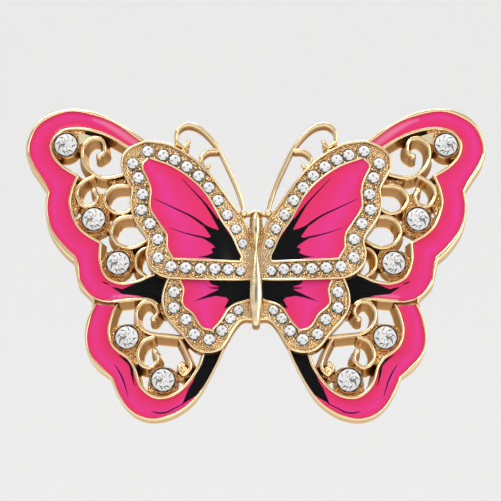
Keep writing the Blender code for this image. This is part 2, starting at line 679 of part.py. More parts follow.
def catch_housing(gold):
    """The fixed C-shaped shell of the catch, on its stalk and pad."""
    ring = np.vstack([arc(CATCH_OUTER, CATCH_MOUTH, 2 * math.pi - CATCH_MOUTH, CATCH_STEPS),
                      arc(CATCH_INNER, 2 * math.pi - CATCH_MOUTH, CATCH_MOUTH, CATCH_STEPS)])
    neck = PIN_DEPTH - (CATCH_INNER + CATCH_OUTER) / 2
    pad = FIT_GAP + PAD_THICKNESS
    half = CATCH_INNER * STALK_SHARE
    stalk = np.array([(FIT_GAP + PAD_THICKNESS / 2, -half), (neck, -half), (neck, half),
                      (FIT_GAP + PAD_THICKNESS / 2, half)]) + (0, PIN_HEIGHT)
    foot = np.array([(FIT_GAP, -PAD_HALF), (pad, -PAD_HALF), (pad, PAD_HALF), (FIT_GAP, PAD_HALF)])
    layers = [(each, *CATCH_X, "raise") for each in (ring, stalk, foot + (0, PIN_HEIGHT))]
    points, faces = relief(layers)
    add("catch_housing", along_x(points), faces, gold)


def catch_rotor(gold):
    """The slotted sleeve that turns round the pin, with its lever outside the shell."""
    centre = (0.0, PIN_DEPTH, PIN_HEIGHT)
    first, last = ROTOR_X
    slot = np.array([(0, -ROTOR_SLOT), (LEVER_RADIUS + 1, -ROTOR_SLOT), (LEVER_RADIUS + 1, ROTOR_SLOT),
                     (0, ROTOR_SLOT)]) + (PIN_DEPTH, PIN_HEIGHT)
    root = ROTOR_OUTER * ROOT_SHARE
    flange = np.vstack([arc(FLANGE_RADIUS, *FLANGE_ARC, FLANGE_STEPS),
                        arc(root, *FLANGE_ARC[::-1], FLANGE_STEPS)])
    lever = np.vstack([arc(LEVER_RADIUS, *LEVER_ARC, LEVER_STEPS), arc(root, *LEVER_ROOT_ARC, LEVER_STEPS)])
    middle = (PIN_DEPTH, PIN_HEIGHT)
    layers = [
        (flange, first, first + FLANGE_THICK, "raise"),
        (lever, last - LEVER_THICK, last, "raise"),
        (circle(middle, ROTOR_OUTER, ROTOR_SIDES), first, last, "set"),
        (circle(middle, ROTOR_BORE, RIVET_SIDES), 0.0, 0.0, "set"),
        (slot, 0.0, 0.0, "set"),
    ]
    points, faces = relief(layers)
    add("catch_rotor", along_x(points), faces, gold, centre)


def main():
    clear_scene()
    gold = finish("polished gold plate", (0.80, 0.55, 0.25), 0.18, 1.0)
    steel = finish("gold plated steel wire", (0.83, 0.62, 0.33), 0.22, 1.0)
    pink = finish("pink enamel", (0.85, 0.048, 0.21), 0.12, 0.0)
    glass = finish("clear crystal", (0.93, 0.94, 0.95), 0.03, 0.0)
    lower_casting(gold)
    lower_enamel(pink)
    upper_casting(gold)
    upper_enamel(pink)
    crystals(glass)
    pave_stones(glass)
    body_spindle(gold)
    pin_joint(gold)
    hinge_rivet(steel)
    pin_stem(steel)
    catch_housing(gold)
    catch_rotor(gold)
    bpy.context.view_layer.update()


main()
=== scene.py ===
"""Looks of the butterfly brooch: fine gold work, painted enamel, cut stones, studio and camera.

Outlines are drawn in the photograph's pixels on the left half. Each piece gets its height in
millimetres in front of the back plane, is carried into the frame, and is mirrored to the right half.
"""

import math

import bpy
import numpy as np
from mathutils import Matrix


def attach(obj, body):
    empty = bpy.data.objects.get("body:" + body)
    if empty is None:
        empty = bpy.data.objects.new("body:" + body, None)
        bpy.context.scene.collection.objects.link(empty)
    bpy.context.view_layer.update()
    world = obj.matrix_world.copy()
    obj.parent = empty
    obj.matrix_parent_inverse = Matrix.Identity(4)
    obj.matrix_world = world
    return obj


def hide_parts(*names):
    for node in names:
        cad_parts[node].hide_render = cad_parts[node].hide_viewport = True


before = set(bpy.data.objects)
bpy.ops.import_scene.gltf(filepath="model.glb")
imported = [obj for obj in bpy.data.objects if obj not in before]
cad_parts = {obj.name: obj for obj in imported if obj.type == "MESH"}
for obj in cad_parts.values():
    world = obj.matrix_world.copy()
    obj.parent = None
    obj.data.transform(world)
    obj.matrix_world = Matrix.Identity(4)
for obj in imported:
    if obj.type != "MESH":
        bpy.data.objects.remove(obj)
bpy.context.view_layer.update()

# Units and the photograph's view: the wing span sets the scale, and lengths are in millimetres
MM = 0.001
SPAN, SPAN_PIXELS = 56.9, 455.0
PIXEL = SPAN / SPAN_PIXELS
PHOTO_CENTRE = (256.0, 266.0)
PHOTO_WIDTH = 501.0
VIEW_DISTANCE = 500.0
VIEW_TILT = math.radians(12.0)

# Heights of the lower tier, in millimetres in front of the back plane
BASE = 0.03
RIM_BACK, SCROLL_BACK, FILL_BACK, PLATE_BACK = 0.06, 0.09, 0.12, 0.15
# The step between backs that overlap, so that no two of them lie in one plane
LAYER = 0.0037
ENAMEL_FLOOR, ENAMEL_TOP = 1.3, 2.5
PLATE_TOP = 1.6
WEB_TOP = 2.3
RIM_TOP, SCROLL_TOP = 2.8, 2.9
THIN_DROP, TIP_RISE = 0.08, 0.06
# The outer wings lie back: how far off the middle this starts, its slope, and how soft the bend is
FOLD_START, FOLD_SLOPE, FOLD_SOFT = 15.0, 0.11, 1.2

# Heights of the upper tier
UPPER_BACK = 1.65
FORE_RIM, FORE_BED, FORE_ENAMEL = 4.6, 4.0, 4.35
HIND_RIM, HIND_BED, HIND_ENAMEL = 4.2, 3.6, 3.95
ANTENNA_BACK, ANTENNA_TOP = 1.7, 4.2
# The tier sinks beside the body: where its height is least, where it is whole, and the least share
ROOF_START, ROOF_END, ROOF_LOW = 0.2, 6.8, 0.5

# Widths in pixels
INNER_RIM = 3.0
UPPER_RIM = 2.3
SCROLL_WIDTH = 4.0
ANTENNA_WIDTH = 3.9
ANTENNA_BASE_WIDTH = 4.5
WEB_WIDTH = 9.6
DIVIDER_WIDTH, DIVIDER_THIN_WIDTH = 3.2, 1.6
PLATE_INSET, PLATE_OVERHANG = 0.5, 1.0
MITRE_LIMIT, END_MARGIN = 0.6, 0.15

# How far the feet of the inner walls spread, and lean towards the middle and downwards, in pixels
FLARE, PEG_FLARE = 3.0, 1.6
LEAN = (1.6, 2.4)

# Radii of the rounded crests, in millimetres
RIM_ROUND, INNER_ROUND, THIN_ROUND = 0.17, 0.18, 0.1
SCROLL_ROUND, WEB_ROUND = 0.24, 0.3
UPPER_ROUND, ANTENNA_ROUND, BASE_ROUND = 0.14, 0.2, 0.25
NECK_ROUND, TAIL_ROUND = 0.15, 0.25

# Side walls: how far up the foot ends, how far below the top the head starts, and the share of the flare
# that is left where the foot ends
WALL_FOOT, WALL_HEAD, FOOT_SHARE = 0.35, 0.75, 0.8
# The least height of a step
HAIR = 0.01
# How far below the crest the painted brown shade of a wall starts, and over what depth it deepens
RECESS_START, RECESS_REACH = 0.25, 0.5

# Steps between points along a curve, in pixels
RIM_STEP = 1.2
SCROLL_STEP = 0.7
ENAMEL_STEP = 0.6
BED_STEP = 0.7

# Granular surfaces: height of the granules, and points across and along
BED_GRAIN, FILL_GRAIN, NECK_GRAIN = 0.12, 0.3, 0.3
FORE_BED_COLUMNS, HIND_BED_COLUMNS, FILL_COLUMNS, NECK_COLUMNS = 190, 150, 10, 14
FILL_ROWS, NECK_ROWS = 150, 60

# Points on each span of a curve, on a painted stroke, over a crest and up a dome, and how far beads stay off
# their poles, in radians
SPAN_POINTS, STROKE_POINTS, CREST_POINTS, DOME_POINTS = 32, 40, 9, 6
POLE = 0.08
# Edges that turn by more degrees than this stay sharp
SHARP_ANGLE, FACET_SHARP = 35.0, 2.0

# Lower forewing outlines, in photo pixels, as runs that meet at corners
FORE_EDGE = [
    [(149, 142), (131, 130.4), (115, 121.4), (95.6, 112), (71, 108.6), (48.5, 113.5), (33.8, 126),
     (26, 147), (30, 164.5), (38.5, 178), (47, 191)],
    [(47, 191), (45.3, 208), (49.5, 231), (62, 250), (74, 261)],
    [(74, 261), (76.5, 274), (80, 286), (92, 299), (94, 305)],
]
FORE_CELL_OUTER = [
    [(150, 147), (141, 141.5), (120, 126.5), (100, 117), (72, 111.3), (50, 117.5), (36, 129),
     (29.4, 148), (34, 164), (44.5, 180.5), (49.7, 191.5)],
    [(49.7, 191.5), (47.6, 208), (52, 228), (64, 244.5), (76, 256)],
    [(76, 256), (79, 266), (80.5, 279), (88, 291.5), (95, 296.8)],
]
FORE_CELL_LOWER = [(95, 296.8), (107, 300), (128, 297.6), (146, 296.3), (153, 298.5), (161.5, 303)]
FORE_CELL_INNER = [
    [(138, 151), (118, 139), (104, 132.2), (88, 127.6), (74, 126.6), (60, 130), (49.8, 142),
     (51.5, 155.5), (61, 167), (75.5, 176.3)],
    [(75.5, 176.3), (70, 190), (68.4, 205), (75, 224.4), (85, 235), (98.8, 243.2)],
    [(98.8, 243.2), (98.4, 261), (105, 277.5), (120, 284.5), (137, 282.5), (150, 277.3), (166, 271)],
]
FORE_PLATE_FOOT = [(120, 301), (161, 302)]
DIVIDER_THIN = [(91, 296.5), (100, 300), (108, 301.4), (114, 301)]
DIVIDER = [(113, 301.2), (130, 299.2), (145, 298.6), (152, 300.4), (158, 304)]

# Lower hindwing outlines
HIND_EDGE = [
    [(94, 305), (87, 320), (84.7, 337), (88, 354), (97, 367), (110, 377)],
    [(110, 377), (116.2, 392), (125, 406), (138, 416.4), (155, 420), (176, 414.5), (196, 399),
     (212, 373), (226, 344)],
]
HIND_CELL_OUTER = [
    [(96.5, 303.8), (91, 317), (87.2, 337), (91, 354), (102, 366.5), (113, 377)],
    [(113, 377), (119, 392), (129, 408), (144, 416.6), (160, 417.4), (182, 408.5), (200, 391),
     (214, 367), (224, 344)],
]
HIND_CELL_INNER = [
    [(114.5, 306), (110.5, 314), (107, 331), (112, 347), (127, 359)],
    [(127, 359), (132.6, 368), (139, 386.5), (153, 398), (170, 397.5), (186, 387), (200, 367.8),
     (205.5, 352)],
]
HIND_OPEN = [
    [(118, 303.5), (113.5, 314.5), (110.2, 331), (114.5, 345), (129, 356.5)],
    [(129, 356.5), (135.8, 368), (142, 385), (154.5, 395), (169, 394.5), (183.5, 385), (196.5, 367),
     (202, 352)],
]

# Scroll strokes, gussets and collars of the lower tier
SCROLLS = [
    [(99, 156), (104.6, 150.5), (102, 140), (92, 138), (83, 147), (83.5, 161), (92, 172.5),
     (105.5, 177.6), (128, 173)],
    [(95, 175), (82, 182.5), (76.8, 193), (82, 204.8), (92, 205), (97, 197), (93.5, 189.5)],
    [(142, 188), (129.7, 185.3), (113, 187), (104.4, 198), (110.3, 209.8), (123, 212.6), (138, 205)],
    [(143, 219), (129.8, 216), (117.4, 219.4), (111.2, 231), (116.8, 242.7), (129.8, 247.5),
     (144.4, 242), (156, 233)],
    [(154, 245), (141, 250.5), (136, 259), (137.5, 269), (146.5, 276.5)],
    [(153.5, 318.8), (157.8, 311), (152, 302.2), (143, 302), (136.3, 312), (139.5, 325.5), (150, 333),
     (168, 335.5), (192, 338)],
    [(155, 336), (143, 341.5), (137.6, 354), (141.5, 364.5), (150.5, 367), (157.5, 359), (154.5, 350.5)],
    [(179, 337), (186.5, 352), (190.5, 366), (184, 374.3), (178.8, 367.5), (182.5, 364)],
]
WEBS = [
    [(112, 259), (105.5, 258)],
    [(120, 268), (120, 276)],
    [(126, 262), (132, 262)],
    [(124, 252), (126, 249)],
]
# Granular gold round each collar: how far it reaches, as angle clockwise from the right and pixels
FILLS = {
    "forewing_tip": [(110, 14), (135, 17), (180, 17.5), (225, 18), (270, 18), (290, 21), (312, 26),
                     (335, 21), (360, 17), (385, 15)],
    "forewing_middle": [(0, 16), (30, 19), (60, 17), (90, 18), (135, 19), (175, 19), (195, 14), (215, 15),
                        (235, 19), (270, 14), (300, 17), (330, 17), (360, 16)],
    "forewing_lower": [(0, 17), (30, 13.5), (60, 13.5), (90, 18), (130, 18), (180, 18), (225, 16),
                       (255, 14), (285, 18), (315, 19), (345, 17), (360, 17)],
    "hindwing_outer": [(0, 15), (30, 16), (60, 14), (90, 16), (120, 18), (150, 18), (180, 17.5), (210, 18),
                       (240, 15), (270, 13.5), (300, 16), (330, 17), (360, 15)],
    "hindwing_lower": [(0, 14), (20, 14), (40, 18), (60, 17), (90, 16), (120, 17), (150, 18), (175, 13.5),
                       (205, 15), (240, 17), (270, 13.5), (300, 15), (330, 16), (360, 14)],
}
FILL_INSIDE, FILL_TOP = 12.5, 2.3
# Granular gold between scrolls and rims, as two edges each
PATCHES = [
    ([(107, 179.5), (118, 179.5), (131, 176)], [(112, 185.5), (120, 184.5), (132, 184.5)]),
    ([(74, 183), (71.5, 192), (71, 205), (75, 215)], [(80.5, 184), (75.5, 192), (76, 201), (80.5, 206)]),
    ([(97.5, 193), (97.5, 200), (94, 206)], [(104, 193), (103, 200), (107, 208)]),
    ([(138.5, 328), (145, 334), (153, 336.5)], [(138, 343), (141, 341), (146, 338.5)]),
    ([(120, 351.5), (128, 358.5), (133, 366)], [(137, 346), (136.5, 354), (139, 363)]),
    ([(175, 371), (181, 376), (190, 375)], [(177.5, 379.5), (184, 378.5), (193, 374)]),
    ([(158.5, 305), (160.5, 311), (163.5, 317)], [(164, 303), (164.5, 311), (166.5, 318)]),
]
# The flat corner piece beside the tip stone
GUSSET = [(78, 131.8), (79, 144)], [(94, 136.5), (80.5, 144)]
GUSSET_TOP = 2.6
SCROLL_TIPS = [(184.3, 368.6), (99, 156), (93.8, 189.8), (153.5, 318.8), (154.8, 350.8), (182.5, 364.3)]
TIP_RADIUS = 0.4
COLLAR_SIDES, PEG_SIDES = 40, 24
CRYSTALS = {
    "forewing_tip": (66, 145.3),
    "forewing_middle": (93.8, 219.7),
    "forewing_lower": (118.2, 263.5),
    "hindwing_outer": (126.8, 337.8),
    "hindwing_lower": (163.1, 380.5),
}

# Upper tier: the left edge and the right edge of each wing and cell, both from the tip to the base
FORE_LEFT = [(141, 144), (131, 148.7), (124, 157), (123.5, 169.3), (133, 188), (131.8, 203), (136.5, 219),
             (149.2, 238), (147.6, 253), (151.5, 266), (165, 275)]
FORE_FOOT = [(165, 275), (190, 277), (230, 278), (257, 277.5)]
FORE_RIGHT = [(141, 144), (149, 142.5), (168, 145.4), (188, 156), (204, 169.5), (220, 189), (232.5, 206.5),
              (241.5, 218), (248, 234), (252, 245)]
FORE_MIDDLE = [(252, 245), (256, 250), (257, 279)]
FORE_CELL_LEFT = [(148.6, 159), (143.3, 166), (149, 179.5), (151.7, 190), (151.2, 206.8), (160, 222),
                  (167.5, 234), (168.3, 247), (174, 257.5)]
FORE_CELL_FOOT = [(174, 257.5), (212, 259), (239.6, 260)]
FORE_CELL_RIGHT = [(149.4, 158.5), (172.4, 167), (192, 180.4), (207, 196.5), (221, 221), (230.2, 233.7),
                   (237.2, 249), (240.6, 256.2), (239.6, 260)]
HIND_LEFT = [(172, 272), (164, 295), (167, 313), (182, 331), (194, 346), (207, 350.5)]
HIND_RIGHT = [(208.6, 350.5), (221, 346), (233.3, 327), (243, 317.5), (257, 318)]
HIND_MIDDLE = [(257, 318), (257, 265)]
HIND_CELL_LEFT = [(181, 279.6), (184.5, 289), (183.5, 303), (193.7, 313), (202, 325.5), (211.2, 329)]
HIND_CELL_RIGHT = [(212, 328.8), (220, 320), (231, 305), (249.5, 298.5)]
HIND_CELL_MIDDLE = [(249.5, 298.5), (252, 279)]
PAVE_ROWS = {
    "fore_upper": [(147.8, 151), (163, 155), (175, 159.7), (187, 166.6), (198.7, 175.8), (208.9, 187.3),
                   (218.3, 200.1), (227.5, 214.6), (236, 228.8), (242.8, 243.3)],
    "fore_outer": [(132.6, 163.5), (138.3, 177.5), (142.4, 194), (141.5, 209.6), (150, 223.4),
                   (157.8, 239), (158, 257.4)],
    "fore_lower": [(171, 266.3), (185.7, 267.5), (200.3, 268.4), (215, 268.6), (228.4, 269.2),
                   (240.8, 270.8)],
    "hind": [(174, 291.9), (174, 307.6), (186, 319.3), (194.4, 334), (209.3, 339.4), (222, 330.6),
             (230.3, 318.4), (238.6, 310)],
}
ANTENNA = [(237, 217), (243.7, 212), (238.2, 190), (228.5, 167.4), (217.4, 146), (202, 129),
           (188, 123.8), (178, 129), (176.5, 141), (184, 146.4), (189, 141.5)]
ANTENNA_BRANCH = [(219, 150), (208, 151), (201, 157.5), (204, 166), (209, 166)]
ANTENNA_LUMPS = [(183, 151), (204, 169)]
LUMP_DEPTH, LUMP_RADIUS = 0.4, 0.42
ANTENNA_BASES = [[(175, 142.5), (182, 147), (189, 146.5)], [(199, 160.5), (204, 167), (208.5, 168)]]
ANTENNA_BASE_TOP = 3.5
ANTENNA_TIPS = [(188.5, 141.8), (208.6, 166)]
ANTENNA_TIP_DEPTH, ANTENNA_TIP_RADIUS = 0.24, 0.3

# The plate soldered over the middle of the back: its left edge, from top to bottom
BACK_PLATE = [
    [(251, 250), (200, 256), (156, 262)],
    [(156, 262), (152, 268), (158, 277), (158, 294), (166, 303), (172, 307), (205, 311.5), (243, 315),
     (254, 315.8)],
]
BACK_PLATE_TOP = 0.5

# The pin: its hinge, and its wire, eye and rivet as radius and place along each one's axis, in millimetres
HINGE = (-11.5, 4.85, 1.5)
WIRE_SECTION = [(0.05, -10.85), (0.39, -10.85), (0.39, 11.2), (0.345, 11.9), (0.26, 12.7), (0.15, 13.3),
                (0.08, 13.53), (0.01, 13.6)]
EYE_SECTION = [(0.46, -0.34), (0.52, -0.4), (0.87, -0.4), (0.95, -0.32), (0.95, 0.32), (0.87, 0.4),
               (0.52, 0.4), (0.46, 0.34)]
RIVET_SECTION = [(0.02, -1.3), (0.35, -1.275), (0.56, -1.2), (0.68, -1.1), (0.7, -1.05), (0.4, -1.05),
                 (0.4, 1.05), (0.7, 1.05), (0.68, 1.1), (0.56, 1.2), (0.35, 1.275), (0.02, 1.3)]
WIRE_SIDES, EYE_SIDES, RIVET_SIDES = 32, 48, 40

# Neck beside the body: root balls, a collar arc, side struts and the tail
ROOT_BALL, ROOT_RADIUS, ROOT_LEVEL = (243.7, 213.2), 0.46, 4.0
NECK_ARC = [(249, 213.6), (252.5, 212), (256.2, 211.4)]
NECK_WEB = [(250, 214), (249.6, 220), (249, 226), (247.6, 230.5), (249, 236), (251, 246)]
NECK_WEB_TOP = 3.2
NECK_LINK = [(245, 214), (249.8, 213.4)]
NECK_WIDTH, NECK_LOW, NECK_TOP = 2.4, 2.2, 3.75
TAIL, TAIL_WIDTH, TAIL_TOP = [(256, 308), (256, 325)], 8.6, 3.4

# Body spindle: half width at each photo height, both in pixels
SPINDLE = [(0.6, 212.5), (2.6, 215), (3.9, 221), (3.4, 231), (1.6, 242), (0.9, 249), (2.8, 259.6),
           (4.4, 270), (6.2, 284), (7.0, 294.7), (6.2, 304), (4.6, 312), (3.9, 318), (2.6, 323), (0.5, 325)]
SPINDLE_LINES = [(226, 234), (283, 305)]
SPINDLE_LINE, LINE_FADE = 0.1, 1.4
SPINDLE_ROWS, SPINDLE_SIDES = 90, 72
SPINDLE_AXIS, SPINDLE_FLAT, SPINDLE_DEPTH = 4.05, 3.18, 0.7

# Stones: girdle radius and girdle height, and how far small ones narrow beside the body
CRYSTAL_RADIUS, CRYSTAL_GIRDLE = 1.52, 3.0
PAVE_RADIUS, PAVE_GIRDLE = 0.81, 0.5
BEAD_ASIDE, BEAD_RISE, BEAD_RADIUS = 4.6, 0.32, 0.19
BEAD_SIDES, BEAD_ROWS = 10, 6
PAVE_STEEP, PAVE_LEVEL, PAVE_NARROW = 1.5, 4.0, 0.8

# Stones: sides and depth, radius and height of each ring of points, and the reflection painted on each
# facet, where 0 is white, 1 grey, 2 dark and 3 golden
LARGE_SIDES, LARGE_DEPTH = 16, 0.85
LARGE_RINGS = [(0.2, 0.35), (0.58, 0.34), (0.91, 0.13), (1.0, 0.0)]
LARGE_REFLECTIONS = [
    [0, 0, 0, 0, 0, 1, 0, 2, 2, 1, 0, 0, 0, 0, 0, 0],
    [0, 0, 1, 0, 3, 0, 2, 0, 2, 3, 2, 0, 1, 0, 1, 0],
    [0, 0, 0, 0, 0, 0, 0, 1, 1, 0, 0, 0, 0, 0, 0, 0],
    [1, 0, 2, 0, 2, 0, 2, 0, 2, 0, 2, 1, 2, 0, 2, 0],
    [0],
    [1, 2, 1, 1],
    [1, 2],
    [2],
]
SMALL_SIDES, SMALL_DEPTH = 8, 0.75
SMALL_RINGS = [(0.42, 0.35), (0.85, 0.17), (1.0, 0.0)]
SMALL_REFLECTIONS = [
    [0, 3, 0, 0, 0, 0, 0, 0],
    [0, 0, 0, 0, 1, 0, 0, 0],
    [0, 0, 0, 0, 0, 0, 1, 0],
    [2],
    [2, 2, 2, 1],
    [2],
]
# Painted reflections: each facet's colour stands in for what the stone mirrors, the lamps, the dark studio
# and the gold setting
FACET_REFLECTIONS = {
    "white painted reflection": ((0.74, 0.74, 0.74), (0.9, 0.9, 0.9)),
    "grey painted reflection": ((0.24, 0.22, 0.2), (0.42, 0.4, 0.38)),
    "dark painted reflection": ((0.035, 0.03, 0.025), (0.09, 0.075, 0.06)),
    "golden painted reflection": ((0.14, 0.08, 0.03), (0.3, 0.17, 0.07)),
}

# Collar section: radius and level, from the foot up over the lip and down to the seat
COLLAR = [(1.98, FILL_BACK - 2.5 * LAYER), (1.92, 0.45), (1.71, 2.2), (1.69, 2.9), (1.68, 3.1),
          (1.66, 3.2), (1.63, 3.24), (1.59, 3.2), (1.56, 3.08), (1.53, 2.6), (1.35, 1.4)]

# Enamel: how far its edges rise and how far its foot sinks into the bed, in millimetres, and how far from a
# painted edge the distance is kept, in pixels
ENAMEL_LIFT, ENAMEL_EVEN, ENAMEL_SINK = 0.1, 0.4, 0.1
PAINT_REACH = 4.0

# Painted black on the enamel, in photo pixels: filled patches, and strokes with a width at each point
FORE_CHANNEL_BLACK = [(111, 286.3), (117, 287.2), (122, 288.6), (127, 286.6), (135, 283), (150, 277),
                      (166, 268), (170, 300), (160, 305), (152, 299), (137, 295), (122, 293.5)]
# Painted highlight: paler pink streaks, with a width at each point, standing in for lamp reflections on the
# enamel
FORE_CHANNEL_HIGHLIGHTS = [
    [(94, 119, 0.4), (106, 123.5, 1.6), (122, 133, 2.6), (137, 143.5, 2.8)],
    [(113, 296.2, 0.4), (125, 295.2, 0.9), (137, 294.6, 0.4)],
]
FORE_CHANNEL_STROKES = [[(102, 281, 0.3), (105.5, 282.6, 0.7), (109, 284, 0.3)]]
HIND_CHANNEL_BLACK = [(205, 350), (226, 350), (216, 365), (206, 382), (197.5, 394.5), (190, 399),
                      (182, 404), (188.6, 388), (193, 381)]
HIND_CHANNEL_STROKES = [
    [(118.5, 354.5, 0.3), (128, 361.5, 1.6), (131, 366, 1.6), (132, 374, 1.2), (134.5, 385, 0.3)],
    [(114.6, 364, 0.3), (120, 373, 0.7), (124, 382, 0.7), (128, 396, 0.3)],
    [(151.6, 411, 0.3), (158, 412.5, 0.7), (166, 412, 0.7), (172, 409, 0.6), (184, 403, 0.4)],
]
FORE_CELL_BLACK = [
    (217.8, 217), (217, 223), (218.9, 229.5), (214, 228.3), (207.5, 225.5), (201.5, 221.8), (202, 224),
    (206.3, 229.5), (210.9, 236), (208.4, 237.2), (202.1, 235.9), (202.1, 237.5), (207.7, 240.7),
    (212.6, 244.2), (215.1, 246.7), (210.9, 248.4), (211.9, 250.2), (213.1, 251.9), (209.1, 254),
    (204.9, 255.4), (197.9, 256.1), (204.9, 257.2), (211.2, 258.2), (220, 265), (250, 265), (246, 250),
    (231.5, 236.5), (227, 230), (222.5, 223),
]
FORE_CELL_STROKES = [
    [(182, 178.5, 0.3), (193, 190, 0.6), (203.5, 201.4, 0.9), (209.3, 209.2, 1.4), (214.8, 217.5, 1.9),
     (220.5, 227, 2.4)],
    [(154, 198.5, 0.3), (160, 201, 0.45), (177.5, 209.1, 0.7), (188, 214, 0.9), (195, 218.2, 1.1),
     (202, 223.2, 1.4)],
    [(169.8, 227.4, 0.25), (178.2, 230.5, 0.4), (188, 233.3, 0.6), (195, 235.1, 0.8), (203, 236.8, 1.0)],
]
HIND_CELL_BLACK = [(202.7, 276), (202.7, 280.4), (208, 280), (212, 284), (218.6, 286), (218.6, 289),
                   (205, 295.5), (192.4, 301.4), (208, 297), (216, 295.5), (226, 297), (228.5, 299.5),
                   (224, 308), (235, 306), (254, 300), (254, 276)]
HIND_CELL_STROKES = [[(209, 287.3, 0.3), (214, 287.6, 0.8), (220, 287.6, 1.0)]]

# Gold: the darker and the lighter tone, roughness, and depth of the cast skin in metres
GOLD_FINISHES = {
    "polished gold plate": ((0.93, 0.69, 0.38), (0.98, 0.78, 0.49), 0.1, 0.000015),
    "plated steel wire": ((0.80, 0.58, 0.30), (0.88, 0.66, 0.36), 0.2, 0.00001),
    # Painted light: a paler copy of the plate's gold, for the gussets and the body where they catch more
    # light
    "paler gold as painted light": ((0.97, 0.80, 0.5), (1.0, 0.86, 0.58), 0.2, 0.000008),
    "brushed back plate": ((0.88, 0.65, 0.36), (0.93, 0.72, 0.43), 0.4, 0.00002),
}
# How far outer walls, pits between granules and inner walls go towards the painted brown shade, and how
# metallic walls stay
OUTER_SHADE, PIT_SHADE, WALL_SHADE = 0.25, 0.9, 0.95
WALL_METAL = 0.75
# Each finish's noise, as clouds and grain to the metre, and the part of it that the tones span
GOLD_NOISE, ENAMEL_NOISE, FACET_NOISE = (420.0, 2600.0), (260.0, 900.0), (900.0, 2600.0)
NOISE_SPAN = (0.3, 0.7)
ROUGHNESS_SPAN = (0.75, 1.3)
GOLD_BUMP = 0.35
# Painted shade: walls and pits go from the gold to this brown, and the tint of their reflections from the
# crests' pale gold to a brown
PAINTED_SHADE_BROWN = (0.45, 0.24, 0.105)
EDGE_GOLD = (0.95, 0.83, 0.6)
PAINTED_SHADE_TINT = (0.5, 0.30, 0.14)
LINE_DARK = (0.06, 0.05, 0.04)

# Enamel: its pinks from the middle of a fill to its edges, its painted highlight and its black
PINK_RED, PINK_ROSE, PINK_MAGENTA = (0.79, 0.035, 0.11), (0.82, 0.041, 0.185), (0.82, 0.049, 0.31)
HIGHLIGHT_PINK = (0.9, 0.3, 0.45)
PAINT_BLACK = (0.004, 0.004, 0.005)
PINK_STOPS = ((0.3, PINK_MAGENTA), (0.62, PINK_ROSE))
# Half the width of a painted edge, where a painted highlight streak fades in, and how strong clouds and the
# painted highlight are
PAINT_EDGE = 0.3
HIGHLIGHT_SPAN = (-2.0, 1.5)
CLOUD_SPAN = (0.35, 0.65)
CLOUD_STRENGTH, HIGHLIGHT_STRENGTH = 0.6, 0.6
ENAMEL_BUMP, ENAMEL_BUMP_DEPTH = 0.2, 0.00002
ENAMEL_POLISH = {"Roughness": 0.12, "Specular IOR Level": 0.08, "Coat Weight": 0.04, "Coat Roughness": 0.04}
FACET_POLISH = {"Roughness": 0.07, "Specular IOR Level": 0.6}

# Studio: the paper sweep and the lamps in millimetres, with power in watts, and the pale sky
FLOOR_LEVEL, WALL_PLACE, PAPER_REACH, PAPER_BEND = -160.0, 900.0, 9000.0, 400.0
BEND_POINTS = 24
PAPER_COLOUR, PAPER_GLOW, PAPER_STRENGTH = (0.8, 0.8, 0.8), (0.93, 0.93, 0.925), 0.34
PAPER_ROUGHNESS = 0.9
LAMPS = {
    "key": ((-160, -260, 260), 180, 0.55),
    "fill": ((240, -220, 60), 200, 0.25),
    "top": ((0, 40, 330), 200, 0.6),
    "back": ((120, 300, 180), 200, 0.2),
}
SKY_LOW, SKY_HIGH = (0.2, 0.14, 0.09), (0.95, 0.95, 0.95)
SKY_START, SKY_END = 0.34, 0.59
SKY_BANDS = ((0.64, 0.95), (0.69, 0.3), (0.75, 0.95))
SKY_STRENGTH = 0.75
CAMERA_SENSOR, CAMERA_NEAR = 36.0, 0.005


def droop(x):
    """How far the wing lies behind the flat middle: slope times a softened max(|x| - start, 0)."""
    past = np.abs(x) - FOLD_START
    return FOLD_SLOPE * 0.5 * (past + np.sqrt(past**2 + FOLD_SOFT**2))


def roof(x):
    """The share of its height that the upper tier keeps: a smooth step 3t^2 - 2t^3 away from the body."""
    t = np.clip((np.abs(x) - ROOF_START) / (ROOF_END - ROOF_START), 0.0, 1.0)
    return ROOF_LOW + (1.0 - ROOF_LOW) * t * t * (3.0 - 2.0 * t)


def plane(pixels, height=RIM_TOP):
    """Photo pixels to millimetres in the wing plane: where the camera's ray meets the wing at this height.

    The ray is s (f + a X + b u), for the view direction f and its up side u, and s follows from
    y = droop - height.
    """
    a, b = ((np.asarray(pixels, float) - PHOTO_CENTRE) * (PIXEL, -PIXEL) / VIEW_DISTANCE).T
    lean, rise = math.sin(VIEW_TILT), math.cos(VIEW_TILT)
    behind = FOLD_SLOPE * np.maximum(np.abs(a) * VIEW_DISTANCE - FOLD_START, 0.0)
    reach = (VIEW_DISTANCE * rise + RIM_TOP - height + behind) / (rise - b * lean)
    return np.column_stack([reach * a, reach * (lean + b * rise) - VIEW_DISTANCE * lean])


def on_wing(points):
    """(u, v, level) on the lower tier to x, y, z."""
    return np.column_stack([points[:, 0], droop(points[:, 0]) - points[:, 2], points[:, 1]])


def on_body(points):
    """(u, v, level) beside the body, with no fold, to x, y, z."""
    return np.column_stack([points[:, 0], -points[:, 2], points[:, 1]])


def wing_level(points):
    """The level of a point on the lower tier."""
    return droop(points[:, 0]) - points[:, 1]


def upper_level(points):
    """The level that a point on the upper tier was drawn at, before its roof was lowered."""
    return UPPER_BACK + (-points[:, 1] - UPPER_BACK) / roof(points[:, 0])


def on_upper(points):
    """(u, v, level) on the upper tier, lowered beside the body along the line of sight, to x, y, z."""
    level = UPPER_BACK + (points[:, 2] - UPPER_BACK) * roof(points[:, 0])
    sunk = points[:, 2] - level
    return np.column_stack([points[:, 0], -level, points[:, 1] + sunk * math.tan(VIEW_TILT)])


def length(points):
    """Length of a line of points."""
    return np.linalg.norm(np.diff(np.asarray(points, float), axis=0), axis=1).sum()


